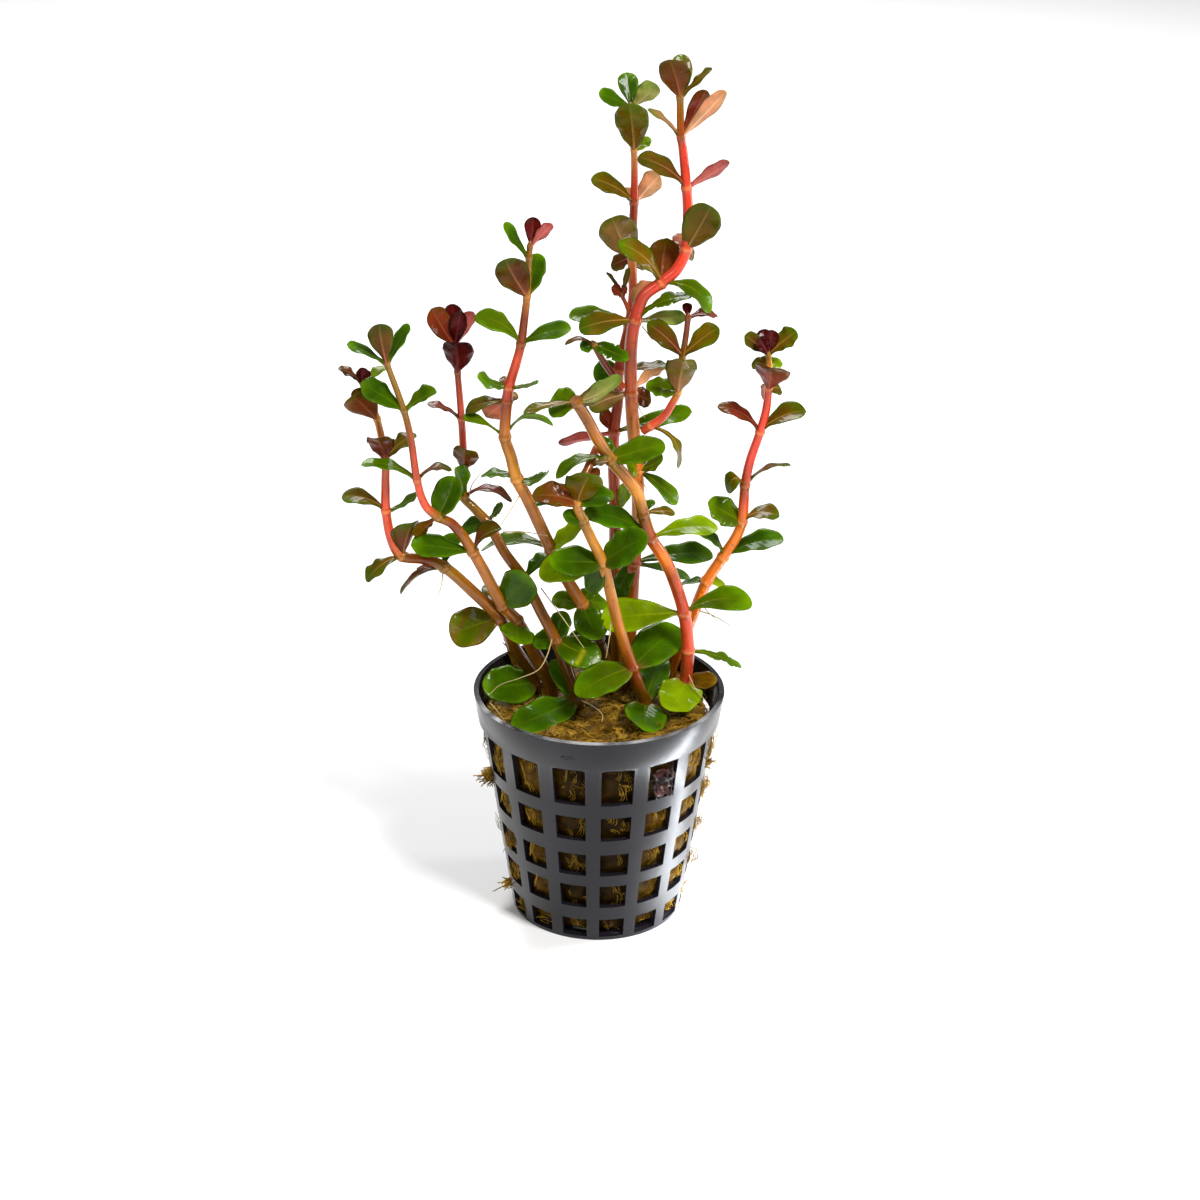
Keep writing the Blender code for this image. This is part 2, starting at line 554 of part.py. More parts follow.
def build_wool(collection):
    def side(height):
        return wall_radius(height) - POT_WALL - WOOL_GAP

    middle = (WOOL_BASE + WOOL_TOP) / 2
    profile = [(0, WOOL_BASE), (side(WOOL_BASE), WOOL_BASE), (side(middle), middle)]
    top_radii = [side(WOOL_TOP) * share for share in (1, 0.75, 0.5, 0.25, 0)]
    profile += [(radius, WOOL_TOP) for radius in top_radii]
    wool = turned("rock_wool", profile, WOOL_STEPS, collection)
    for vertex in wool.data.vertices:
        if vertex.co.z > (middle + WOOL_TOP) / 2:
            vertex.co.z = wool_height(vertex.co.x, vertex.co.y)
            vertex.co.x -= max(0, vertex.co.x - WOOL_EDGE) * WOOL_PULL
    shell = bmesh.new()
    shell.from_mesh(wool.data)
    bmesh.ops.recalc_face_normals(shell, faces=shell.faces)
    shell.to_mesh(wool.data)
    shell.free()
    paint(wool, (0.12, 0.075, 0.015), 0.9)
    return wool


def stem_path(shoot):
    """The stem's points, from its root in the wool where it has one."""
    points = [place(*reading) for reading in shoot["stem"]]
    if shoot["rooted"]:
        foot = points[0].copy()
        foot.z = WOOL_TOP - ROOT_DEPTH
        points.insert(0, foot)
    points.append(points[-1] + (points[-1] - points[-2]).normalized() * STEM_END)
    return points


def stem_radii(points, girth, extra):
    """The stem's radius at each point, from thicknesses spread evenly from low to top."""
    radii = []
    for number in range(len(points)):
        where = number / (len(points) - 1) * (len(girth) - 1)
        low = min(int(where), len(girth) - 2)
        thickness = girth[low] + (girth[low + 1] - girth[low]) * (where - low)
        radii.append(thickness * MM / 2 + extra)
    return radii


def tube(name, points, radii, collection):
    """A closed six-sided tube through the points, as a mesh."""
    curve = bpy.data.curves.new(name, "CURVE")
    curve.dimensions = "3D"
    curve.bevel_depth = 1
    curve.bevel_resolution = 1
    curve.use_fill_caps = True
    spline = curve.splines.new("POLY")
    spline.points.add(len(points) - 1)
    for knot, point, radius in zip(spline.points, points, radii):
        knot.co = (*point, 1)
        knot.radius = radius
    drawn = add_object(name, curve, collection)
    bpy.context.view_layer.update()
    graph = bpy.context.evaluated_depsgraph_get()
    mesh = bpy.data.meshes.new_from_object(drawn.evaluated_get(graph))
    mesh.transform(drawn.matrix_world)
    bpy.data.objects.remove(drawn)
    bpy.data.curves.remove(curve)
    shell = bmesh.new()
    shell.from_mesh(mesh)
    bmesh.ops.remove_doubles(shell, verts=shell.verts, dist=WELD)
    bmesh.ops.recalc_face_normals(shell, faces=shell.faces)
    shell.to_mesh(mesh)
    shell.free()
    mesh.name = name
    return add_object(name, mesh, collection)


def leaf_shape(base, tip, leaf, extra=0.0, start=0.0):
    """Points and faces of a leaf, grown by extra on every side and begun at start."""
    _, _, _, _, width, turn, arch, cup, form = leaf
    along = tip - base
    middle = (base + tip) / 2
    facing = (EYE - middle) - along * ((EYE - middle).dot(along) / along.length_squared)
    facing.normalize()
    side_up = along.normalized().cross(facing)
    upward = side_up.z if abs(side_up.z) > LEVEL_LEAF else side_up.x
    if upward < 0:
        side_up.negate()
    turn = math.radians(turn)
    normal = facing * math.cos(turn) + side_up * math.sin(turn)
    across = along.normalized().cross(normal)

    def centre(share):
        return base + along * share + normal * (arch * along.length * 4 * share * (1 - share))

    sections = LEAF_FORMS[form]
    if width * MM < SMALL_LEAF:
        sections = sections[1:]
    thick = LEAF_THICKNESS / 2 + extra
    points = [centre(start)]
    for share, wide in sections:
        half = width * MM / 2 * wide + extra
        edge = normal * (cup * half)
        points.append(centre(share) - across * half + edge)
        points.append(centre(share) + normal * thick)
        points.append(centre(share) + across * half + edge)
        points.append(centre(share) - normal * thick)
    points.append(tip + along.normalized() * extra)
    last = len(points) - 1
    faces = [(0, 1 + (i + 1) % 4, 1 + i) for i in range(4)]
    for ring in range(1, last - 4, 4):
        faces += [(ring + i, ring + (i + 1) % 4, ring + 4 + (i + 1) % 4, ring + 4 + i) for i in range(4)]
    faces += [(last - 4 + i, last - 4 + (i + 1) % 4, last) for i in range(4)]
    return points, faces


def tree_of(mesh):
    points = [vertex.co for vertex in mesh.vertices]
    return BVHTree.FromPolygons(points, [tuple(face.vertices) for face in mesh.polygons])


def evaluated_tree(made):
    graph = bpy.context.evaluated_depsgraph_get()
    return BVHTree.FromObject(made, graph)


def settled_tip(base, leaf, shoot_name, placed):
    """The leaf's tip, moved in depth until the leaf clears what is already there."""
    _, across, down, back = leaf[:4]
    for step in DEPTH_TRIES:
        tip = place(across, down, back + step)
        whole = BVHTree.FromPolygons(*leaf_shape(base, tip, leaf, LEAF_GAP))
        blade = BVHTree.FromPolygons(*leaf_shape(base, tip, leaf, LEAF_GAP / 2, BLADE_START))
        if not any(
            tree.overlap(blade if owner == shoot_name else whole) for owner, tree in placed
        ):
            placed.append((shoot_name, BVHTree.FromPolygons(*leaf_shape(base, tip, leaf))))
            return tip
    print(f"{shoot_name}: no room for the leaf at {across}, {down}")
    tip = place(across, down, back)
    placed.append((shoot_name, BVHTree.FromPolygons(*leaf_shape(base, tip, leaf))))
    return tip


def build_shoot(name, shoot, stem, placed, helpers):
    """Joins a shoot's leaves to its stem."""
    leaves = add_collection(name + " leaves", helpers, hidden=True)
    readings = [place(*reading) for reading in shoot["stem"]]
    for number, leaf in enumerate(shoot["leaves"]):
        base = readings[leaf[0]]
        tip = settled_tip(base, leaf, name, placed)
        mesh = mesh_from("leaf", *leaf_shape(base, tip, leaf))
        hide_helper(add_object(f"{name} leaf {number + 1}", mesh, leaves))
    join = stem.modifiers.new("leaves", "BOOLEAN")
    join.operation = "UNION"
    join.solver = "EXACT"
    join.operand_type = "COLLECTION"
    join.collection = leaves
    paint(stem, shoot["colour"], 0.35)


def cut_sockets(wool, paths, helpers):
    """Cuts a hole in the wool round each rooted stem."""
    cutters = add_collection("sockets", helpers, hidden=True)
    for name, (points, radii) in paths.items():
        foot = points[0] - Vector((0, 0, SOCKET_GAP))
        hide_helper(tube(name + " socket", [foot] + points[1:3], radii[:3], cutters))
    cut = wool.modifiers.new("sockets", "BOOLEAN")
    cut.operation = "DIFFERENCE"
    cut.solver = "EXACT"
    cut.operand_type = "COLLECTION"
    cut.collection = cutters


def main():
    for old in list(bpy.data.objects):
        bpy.data.objects.remove(old)
    scene = bpy.context.scene.collection
    plant = add_collection("blood red rotala", scene)
    helpers = add_collection("helpers", scene, hidden=True)
    pot = build_pot(plant)
    wool = build_wool(plant)
    stems = {}
    sockets = {}
    placed = []
    for name, shoot in SHOOTS.items():
        points = stem_path(shoot)
        stems[name] = tube(name, points, stem_radii(points, shoot["girth"], 0), plant)
        placed.append((name, tree_of(stems[name].data)))
        if shoot["rooted"]:
            sockets[name] = (points, stem_radii(points, shoot["girth"], SOCKET_GAP))
    cut_sockets(wool, sockets, helpers)
    bpy.context.view_layer.update()
    placed.append((pot.name, evaluated_tree(pot)))
    placed.append((wool.name, evaluated_tree(wool)))
    for name, shoot in SHOOTS.items():
        build_shoot(name, shoot, stems[name], placed, helpers)


main()
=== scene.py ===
import math
from collections import namedtuple

import bmesh
import bpy
import numpy as np
from mathutils import Matrix, Vector, noise
from mathutils.bvhtree import BVHTree


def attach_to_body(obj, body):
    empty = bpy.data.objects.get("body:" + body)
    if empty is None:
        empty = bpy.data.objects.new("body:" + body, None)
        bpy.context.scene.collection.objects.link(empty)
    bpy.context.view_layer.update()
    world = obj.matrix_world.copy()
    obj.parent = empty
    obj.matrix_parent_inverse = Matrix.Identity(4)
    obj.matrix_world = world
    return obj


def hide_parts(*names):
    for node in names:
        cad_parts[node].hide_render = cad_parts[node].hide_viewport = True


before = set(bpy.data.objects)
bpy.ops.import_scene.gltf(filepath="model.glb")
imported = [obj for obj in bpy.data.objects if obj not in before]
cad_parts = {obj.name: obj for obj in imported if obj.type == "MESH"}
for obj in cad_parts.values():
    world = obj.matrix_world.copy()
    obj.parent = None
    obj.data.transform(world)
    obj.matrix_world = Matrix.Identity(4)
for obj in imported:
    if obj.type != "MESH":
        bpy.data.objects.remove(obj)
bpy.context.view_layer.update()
mm = 0.001

# The photograph's viewpoint, which turns a reading into a place and holds the camera
viewpoint = {
    "frame": 1200,  # the photograph's side in pixels
    "focal": 2400,  # the focal length in those pixels
    "lookDown": math.radians(24.15),
    "roll": math.radians(0.63),
    "lookHeight": 67.1 * mm,
    "distance": 470.9 * mm,
    "sensor": 36,  # the camera's sensor and its nearest sight
    "nearest": 10 * mm,
}

# How far the leaves stand clear of each other, and how the gaps are found
clearing = {
    "leafThickness": 0.6 * mm,
    "leafGap": 0.45 * mm,
    "smallLeaf": 5.05 * mm,
    "bladeStart": 0.3,
    "edgeOn": 0.15,  # below this a leaf's side counts as level
    "depthSteps": [0, 1, -1, 2, -2, 3, -3, 4, -4, 5, -5, 6, -6, 7, -7],
    "stemEnd": 1.0 * mm,
    "woolTop": 43.6 * mm,
    "rootDepth": 8.0 * mm,
}

# How wide each form of leaf is along its length: a few sections to find gaps with, and the
# fine outline as the powers of the distance from its base and from its tip
leafForms = {
    "oval": {"sections": [(0.28, 0.82), (0.56, 1.0), (0.86, 0.62)], "base": 0.62, "tip": 0.50},
    "round": {"sections": [(0.30, 0.70), (0.62, 1.0), (0.88, 0.66)], "base": 0.85, "tip": 0.50},
    "spoon": {"sections": [(0.34, 0.40), (0.68, 1.0), (0.90, 0.62)], "base": 1.30, "tip": 0.52},
    "paddle": {"sections": [(0.50, 0.24), (0.76, 1.0), (0.92, 0.60)], "base": 3.20, "tip": 0.60},
    "heart": {"sections": [(0.14, 0.85), (0.50, 1.0), (0.84, 0.68)], "base": 0.38, "tip": 0.46},
}

# Colours of a leaf on the side that faces the viewer: its blade, its edge, its midrib and its
# heart near the stalk, as red, green and blue on the screen's 0 to 255 scale, and its other side
leafShades = {
    "deep": {
        "blade": (54, 96, 0), "edge": (108, 150, 0), "rib": (94, 120, 6),
        "heart": (62, 92, 0), "back": (94, 126, 12),
    },
    "green": {
        "blade": (74, 112, 0), "edge": (116, 156, 0), "rib": (120, 136, 10),
        "heart": (86, 106, 0), "back": (98, 128, 10),
    },
    "fresh": {
        "blade": (122, 158, 0), "edge": (164, 192, 2), "rib": (154, 172, 14),
        "heart": (130, 154, 0), "back": (136, 158, 14),
    },
    "olive": {
        "blade": (90, 98, 0), "edge": (76, 118, 0), "rib": (184, 150, 64),
        "heart": (122, 82, 12), "back": (104, 106, 16),
    },
    "bronze": {
        "blade": (88, 78, 0), "edge": (66, 98, 0), "rib": (190, 124, 80),
        "heart": (118, 50, 30), "back": (84, 92, 8),
    },
    "brown": {
        "blade": (106, 72, 0), "edge": (88, 84, 0), "rib": (170, 108, 56),
        "heart": (124, 58, 26), "back": (90, 80, 6),
    },
    "redbrown": {
        "blade": (112, 50, 6), "edge": (84, 66, 0), "rib": (184, 92, 60),
        "heart": (136, 46, 28), "back": (92, 72, 8),
    },
    "maroon": {
        "blade": (74, 10, 4), "edge": (52, 8, 0), "rib": (144, 60, 56),
        "heart": (104, 22, 24), "back": (96, 26, 14),
    },
    "mauve": {
        "blade": (112, 58, 28), "edge": (84, 64, 2), "rib": (198, 104, 76),
        "heart": (140, 64, 50), "back": (84, 74, 8),
    },
    "pink": {
        "blade": (168, 84, 82), "edge": (128, 48, 38), "rib": (220, 136, 122),
        "heart": (198, 106, 94), "back": (110, 60, 30),
    },
    "beige": {
        "blade": (198, 142, 108), "edge": (134, 78, 42), "rib": (232, 184, 150),
        "heart": (210, 122, 102), "back": (140, 106, 44),
    },
    "khaki": {
        "blade": (110, 110, 12), "edge": (82, 98, 0), "rib": (214, 176, 128),
        "heart": (168, 118, 78), "back": (92, 94, 4),
    },
    "pale": {
        "blade": (140, 168, 64), "edge": (96, 138, 14), "rib": (216, 196, 138),
        "heart": (176, 166, 98), "back": (104, 122, 12),
    },
    "cream": {
        "blade": (222, 186, 132), "edge": (184, 130, 62), "rib": (244, 220, 184),
        "heart": (228, 160, 120), "back": (172, 136, 66),
    },
    "spotted": {
        "blade": (82, 102, 0), "edge": (120, 88, 4), "rib": (116, 122, 12),
        "heart": (92, 86, 0), "back": (104, 112, 24),
    },
    "scarred": {
        "blade": (62, 98, 0), "edge": (118, 150, 0), "rib": (118, 136, 12),
        "heart": (78, 98, 0), "back": (108, 128, 28),
    },
    "dead": {
        "blade": (122, 84, 0), "edge": (166, 126, 40), "rib": (84, 58, 2),
        "heart": (60, 38, 0), "back": (96, 70, 4),
    },
}

# Colours of the stems on the same scale
stemTones = {
    "bark": (102, 62, 4), "brown": (138, 80, 8), "tan": (180, 108, 30), "straw": (196, 128, 40),
    "olive": (142, 100, 8), "rust": (152, 60, 14), "dark": (122, 44, 4), "amber": (228, 118, 22),
    "coral": (208, 74, 42), "salmon": (226, 112, 74), "rose": (184, 68, 48), "red": (168, 48, 24),
    "scarlet": (210, 60, 36),
}

# Each shoot's stem is a list of readings: across and down in the 1200 by 1200 photograph,
# then millimetres behind the pot's axis. girth is its thickness in millimetres, from low to
# top, and tones its colour at each reading. A shoot is rooted in the wool and grows to a
# tip, unless it says that it isn't rooted or is cut. A leaf is: the number of the reading it
# grows from, its tip's reading, its width in millimetres, the turn of its upper side in
# degrees (0 faces the viewer, 90 faces up, 180 faces away), its arch and its cup as shares
# of its length and half width, its form and its shade.
shoots = {
    "far_left_shoot": {
        "girth": (2.5, 2.4, 2.1, 1.6, 1),
        "tones": "bark bark brown brown olive dark tan coral coral coral salmon straw olive",
        "stem": [
            (536, 683, 7.5), (516, 650, 6.5), (500, 619, 5), (470, 589, 3),
            (444, 567, 2), (424, 559, 1), (402, 556, 0.5), (392, 541, 0),
            (386, 511, 0), (385.5, 485, 0), (385, 460, 0), (377, 419, -0.5),
            (363, 384, -1),
        ],
        "leaves": [
            (0, 484, 688, 0, 8.6, 25, 0.04, 0.08, "oval", "deep"),
            (2, 450, 636, 3, 8.5, 20, 0.02, 0.08, "round", "spotted"),
            (4, 455, 533, 6, 5, 45, 0.05, 0.1, "spoon", "deep"),
            (4, 401, 595, -1.5, 4.5, 74, 0.16, 0.2, "spoon", "bronze"),
            (4, 417, 567, 4, 3.4, 60, 0.05, 0.1, "spoon", "brown"),
            (6, 411, 522, -3, 6, 150, 0, 0.45, "spoon", "bronze"),
            (6, 366, 581, -2.5, 5.5, 57, 0.12, 0.1, "spoon", "olive"),
            (8, 342, 496, -1, 5, 55, 0.12, 0.1, "spoon", "olive"),
            (8, 418, 492, 2, 4.4, 72, -0.08, 0.1, "spoon", "green"),
            (10, 377, 437, -6, 5.2, 168, 0.05, 0.3, "round", "mauve"),
            (10, 415, 433, 2.5, 5.5, 55, 0.05, 0.1, "spoon", "olive"),
            (11, 353, 396, -5, 6, 165, 0.05, 0.3, "round", "brown"),
            (11, 355, 389, 2.5, 4.5, 30, 0, 0.1, "spoon", "brown"),
            (12, 385, 366, 2, 3.4, 62, 0.05, 0.1, "spoon", "fresh"),
            (12, 339, 367, -1, 3.6, 66, 0.05, 0.1, "spoon", "bronze"),
            (12, 361, 368, -0.8, 2.4, 15, 0, 0.2, "spoon", "maroon"),
            (12, 367, 370, 0.8, 2.2, 20, 0, 0.2, "spoon", "maroon"),
        ],
    },
    "left_shoot": {
        "girth": (2.8, 2.5, 2, 1.45, 1),
        "tones": "bark brown brown brown tan tan brown dark olive coral coral rust olive olive",
        "stem": [
            (550, 684, 5), (533, 650, 4.5), (517, 621, 4), (503, 606, 3.5),
            (484, 571, 2), (473, 552, 1), (462, 535, 0), (451, 523, -1),
            (438, 517, -2), (425, 505, -3), (417, 480, -4), (411, 440, -5),
            (404, 411, -5), (387, 364, -6),
        ],
        "leaves": [
            (2, 518, 643, -0.5, 7.6, 25, 0, 0.05, "round", "green"),
            (3, 530, 578, -1.5, 8, 12, 0, 0.06, "round", "deep"),
            (3, 488, 584, 6, 5, 30, 0, 0.1, "oval", "olive"),
            (5, 411, 545, -2, 6, 38, 0.05, 0.1, "spoon", "deep"),
            (5, 502, 529, 1, 6, 60, 0.15, 0.4, "spoon", "bronze"),
            (8, 456, 477, 1, 6, 25, 0, 0.4, "oval", "deep"),
            (8, 416, 537, -1, 4.5, 120, 0.08, 0.1, "spoon", "brown"),
            (10, 361, 465, -4, 5, 61, 0.12, 0.1, "spoon", "green"),
            (10, 452, 470, -3, 4.5, 76, 0.2, 0.1, "spoon", "bronze"),
            (12, 361, 384, -6, 5.6, 38, 0.05, 0.1, "spoon", "deep"),
            (12, 437, 392, -5, 5, 58, 0.05, 0.4, "spoon", "green"),
            (13, 347, 344, -7, 4, 66, 0.03, 0.1, "spoon", "deep"),
            (13, 379, 324, -9, 4.8, 172, 0, 0.1, "spoon", "bronze"),
            (13, 407, 323, -2.5, 3.6, 50, -0.05, 0.1, "spoon", "deep"),
        ],
    },
    "maroon_tip_shoot": {
        "girth": (2.5, 2.3, 2, 1.5, 0.9),
        "tones": "bark bark brown brown brown brown brown olive olive coral coral rust dark",
        "stem": [
            (577, 700, -0.5), (569, 675, 0.5), (556, 641, 1.5), (540, 610, 2.5),
            (524, 579, 3.5), (505, 553, 4.5), (487, 522, 5.5), (474, 508, 6),
            (464, 497, 6.5), (464, 469, 7), (461.5, 419, 7.5), (457.5, 372, 7.5),
            (455, 347, 7.5),
        ],
        "leaves": [
            (0, 552, 660, 2, 4.6, 15, 0, 0.1, "oval", "deep"),
            (0, 513, 728, -12, 8, 36, 0.03, 0.08, "oval", "deep"),
            (2, 600, 661, -2, 7, 25, 0.05, 0.08, "oval", "scarred"),
            (2, 533, 640, 5, 5, 30, 0, 0.1, "oval", "deep"),
            (2, 564, 611, 4, 5, 25, 0, 0.1, "oval", "deep"),
            (4, 549, 553, 6, 5, 52, 0.05, 0.1, "spoon", "deep"),
            (6, 460, 529, 8, 4.5, 40, 0, 0.1, "oval", "deep"),
            (6, 503, 505, 4, 3.6, 62, 0, 0.1, "spoon", "green"),
            (8, 512, 500, 5, 4, 62, 0.25, 0.1, "spoon", "mauve"),
            (8, 455, 468, 4, 5.2, 48, 0.05, 0.3, "spoon", "deep"),
            (9, 466, 450, 1, 5.4, 172, 0, 0.3, "round", "brown"),
            (10, 428, 403, 6, 3.5, 74, 0.08, 0.1, "spoon", "mauve"),
            (11, 456, 343, 2.5, 6, 172, 0, 0.35, "round", "maroon"),
            (12, 431, 309, 5.5, 5, 30, 0, 0.2, "spoon", "redbrown"),
            (12, 452, 304, 9, 3.9, 10, 0, 0.2, "spoon", "maroon"),
            (12, 444, 315, 7, 2.8, 30, 0, 0.3, "spoon", "maroon"),
            (12, 461, 312, 6, 3.6, 15, 0, 0.3, "spoon", "maroon"),
            (12, 472, 311, 8.5, 3.4, 150, 0, 0.2, "spoon", "pink"),
        ],
    },
    "middle_shoot": {
        "girth": (2.5, 2.5, 2.3, 1.65, 0.9),
        "tones": (
            "bark bark tan brown brown tan tan straw straw tan rust scarlet coral rust dark tan "
            "olive brown"
        ),
        "stem": [
            (608, 676, 6.5), (598, 640, 5.5), (582, 604, 5), (566, 578, 4.5),
            (551, 549, 3.5), (539, 523, 3), (526, 496, 2.5), (517, 479, 2),
            (511, 457, 2), (505, 437, 1.5), (507, 401, 1), (509, 387, 0.5),
            (516.5, 362, 0), (521, 344, 0), (524.5, 318, 0), (527, 296, 0),
            (529, 258, 0), (530, 246, 0),
        ],
        "leaves": [
            (1, 568, 641, 4.5, 5.5, 35, 0.05, 0.1, "oval", "deep"),
            (2, 552, 598, 6, 5, 36, 0, 0.1, "oval", "green"),
            (2, 607, 603, 7, 4.5, 35, 0.05, 0.1, "oval", "green"),
            (2, 599, 640, 3, 6.5, 15, 0, 0.1, "oval", "deep"),
            (2, 591, 587, 7, 3.6, 25, 0, 0.1, "oval", "green"),
            (4, 483, 550, 7, 5.5, 58, 0.12, 0.15, "spoon", "green"),
            (4, 583, 527, 2, 5, 48, 0, 0.3, "oval", "fresh"),
            (7, 481, 476, 2.5, 5, 65, 0.1, 0.1, "spoon", "green"),
            (7, 548, 473, -1, 5.5, 60, -0.15, 0.1, "spoon", "green"),
            (9, 464, 415, 1, 3.2, 50, 0.1, 0.1, "paddle", "green"),
            (9, 553, 426, 0, 4.5, 74, 0.3, 0.1, "spoon", "green"),
            (10, 465, 409, 3, 5, 60, 0.05, 0.1, "spoon", "olive"),
            (10, 486, 417, 6, 5, 160, 0, 0.1, "oval", "beige"),
            (10, 516, 393, 3.5, 2.4, 20, 0, 0.1, "oval", "khaki"),
            (11, 478, 377, -2, 5, 64, -0.05, 0.1, "spoon", "green"),
            (11, 537, 382, -2, 4.5, 78, -0.06, 0.1, "spoon", "green"),
            (11, 503, 376, 2.5, 2.4, 20, 0, 0.1, "oval", "khaki"),
            (13, 475, 316, -1, 5, 45, 0.15, 0.1, "spoon", "green"),
            (13, 571, 328, -1, 5, 47, 0.1, 0.1, "spoon", "deep"),
            (15, 505, 259, -5, 6.2, 170, 0, 0.12, "round", "bronze"),
            (15, 538, 253, 4.5, 5, 30, 0, 0.1, "oval", "deep"),
            (16, 504, 223, -0.5, 3.6, 58, 0, 0.1, "spoon", "deep"),
            (17, 533, 217, 0.5, 3.2, 10, 0, 0.1, "spoon", "maroon"),
            (17, 552, 224, 0, 3.2, 138, 0, 0.1, "spoon", "pink"),
        ],
    },
    "tall_shoot": {
        "girth": (2.5, 2.4, 2.1, 1.6, 0.9),
        "tones": "olive olive rust rust rust red rust red rust coral tan red coral straw olive",
        "stem": [
            (616, 660, 12), (617, 600, 12.5), (615, 560, 13), (615, 507, 13.5),
            (613.5, 465, 14), (614, 432, 14.5), (618, 400, 15), (619, 370, 15.5),
            (629, 325, 16), (633, 295, 16.5), (632, 257, 17), (634, 203, 17.5),
            (634.5, 180, 18), (634, 150, 18), (631, 107, 18),
        ],
        "leaves": [
            (3, 629, 484, 12, 3.5, 35, 0, 0.1, "oval", "fresh"),
            (5, 600, 410, 13, 3.4, 30, 0, 0.2, "spoon", "redbrown"),
            (5, 558, 442, 13, 4.6, 120, 0, 0.1, "spoon", "pink"),
            (5, 692, 412, 12, 5, 45, 0, 0.1, "spoon", "green"),
            (7, 669, 366, 14, 4.6, 60, 0.03, 0.1, "spoon", "olive"),
            (7, 593, 374, 16, 5.5, 30, 0, 0.1, "oval", "deep"),
            (8, 569, 316, 14, 5.5, 45, 0.08, 0.1, "spoon", "green"),
            (10, 612, 217, 11, 7.4, 170, 0, 0.12, "round", "khaki"),
            (10, 611, 266, 20, 3.6, 30, 0, 0.1, "oval", "bronze"),
            (10, 646, 266, 20, 3.2, 30, 0, 0.1, "oval", "olive"),
            (11, 591, 179, 16, 5, 52, 0.12, 0.1, "spoon", "olive"),
            (11, 660, 175, 21, 4.8, 145, 0, 0.1, "spoon", "cream"),
            (11, 626, 187, 19.5, 2.6, 30, 0, 0.1, "oval", "cream"),
            (13, 629, 103, 13, 6.4, 174, 0, 0.15, "round", "olive"),
            (13, 649, 137, 20.5, 3.4, 40, 0, 0.1, "oval", "fresh"),
            (14, 627, 72, 21, 4, 12, 0, 0.1, "spoon", "deep"),
            (14, 599, 93, 15.5, 3.8, 42, 0, 0.1, "spoon", "deep"),
            (14, 656, 84, 16, 4.4, 150, 0, 0.15, "spoon", "pale"),
        ],
    },
    "tallest_shoot": {
        "girth": (2.7, 2.6, 2.4, 2, 1.1),
        "tones": (
            "bark amber rust tan amber tan rust rust red rose scarlet scarlet scarlet scarlet "
            "scarlet scarlet rust olive"
        ),
        "stem": [
            (628, 672, 9), (631, 620, 8), (634, 563, 7), (638, 515, 6.5),
            (637, 470, 6), (634, 437, 5.5), (631, 393, 5), (631, 350, 5),
            (635, 321, 5), (644, 296, 5.5), (661, 283, 6), (677, 269, 6.5),
            (686, 249, 7), (688, 215, 7), (686.5, 188, 7.5), (683, 150, 8),
            (681, 137, 8), (680, 97, 8.5),
        ],
        "leaves": [
            (2, 713, 556, 9, 6, 48, 0.08, 0.1, "spoon", "deep"),
            (2, 610, 540, 9, 5, 40, 0.05, 0.1, "spoon", "green"),
            (2, 690, 577, 11, 5.5, 68, 0.03, 0.1, "spoon", "deep"),
            (2, 616, 601, 7.5, 4.5, 30, 0.1, 0.1, "oval", "deep"),
            (4, 677, 504, 5, 4.6, 48, 0.08, 0.1, "spoon", "green"),
            (4, 663, 459, 3, 4.2, 55, -0.05, 0.1, "spoon", "green"),
            (4, 628, 464, 2, 4, 35, 0.05, 0.1, "oval", "fresh"),
            (4, 648, 448, 7, 2.8, 30, 0, 0.1, "oval", "olive"),
            (6, 664, 368, 5, 4, 120, 0.1, 0.1, "spoon", "cream"),
            (6, 589, 408, 3.5, 5, 40, 0.05, 0.1, "spoon", "khaki"),
            (6, 651, 402, 6.5, 4, 25, 0, 0.1, "oval", "brown"),
            (8, 579, 329, 3, 6, 43, 0.1, 0.1, "spoon", "olive"),
            (8, 692, 296, 4, 4.6, 58, 0.12, 0.1, "spoon", "green"),
            (8, 686, 315, 8, 4, 45, 0, 0.1, "spoon", "pale"),
            (10, 619, 242, 3.5, 5.2, 40, 0.14, 0.1, "spoon", "olive"),
            (10, 711, 312, 6, 5.2, 48, 0.22, 0.1, "spoon", "green"),
            (10, 630, 299, 8, 4.6, 35, 0, 0.1, "spoon", "cream"),
            (10, 667, 238, 11, 6.2, 168, 0, 0.1, "round", "brown"),
            (12, 711, 206, 4, 7, 172, 0, 0.1, "round", "olive"),
            (12, 677, 233, 9, 3, 30, 0, 0.1, "oval", "beige"),
            (12, 694, 257, 9.5, 3, 40, 0, 0.1, "oval", "khaki"),
            (14, 638, 157, 6.5, 5.2, 50, 0.12, 0.1, "spoon", "bronze"),
            (14, 729, 161, 8, 4, 130, 0, 0.1, "spoon", "pink"),
            (16, 649, 108, 7.5, 3.4, 74, 0.05, 0.1, "spoon", "khaki"),
            (16, 725, 90, 7.5, 3.7, 148, 0, 0.15, "spoon", "cream"),
            (16, 706, 90, 9.5, 3.6, 15, 0, 0.1, "spoon", "redbrown"),
            (17, 669, 59, 4.5, 5.6, 172, 0, 0.12, "round", "brown"),
            (17, 682, 54, 12, 4.2, 12, 0, 0.1, "round", "olive"),
            (17, 711, 67, 8.5, 3.4, 66, 0, 0.1, "spoon", "olive"),
        ],
    },
    "small_side_shoot": {
        "girth": (0.9, 0.6),
        "tones": "rust rust dark",
        "rooted": False,
        "stem": [
            (629, 312, 6), (626, 304, 6.5), (622, 296, 7),
        ],
        "leaves": [
            (2, 612, 287, 6, 2.6, 30, 0, 0.2, "spoon", "redbrown"),
            (2, 626, 286, 6.5, 2, 40, 0, 0.2, "spoon", "mauve"),
            (2, 607, 272, 7, 1.8, 70, 0.05, 0.1, "spoon", "olive"),
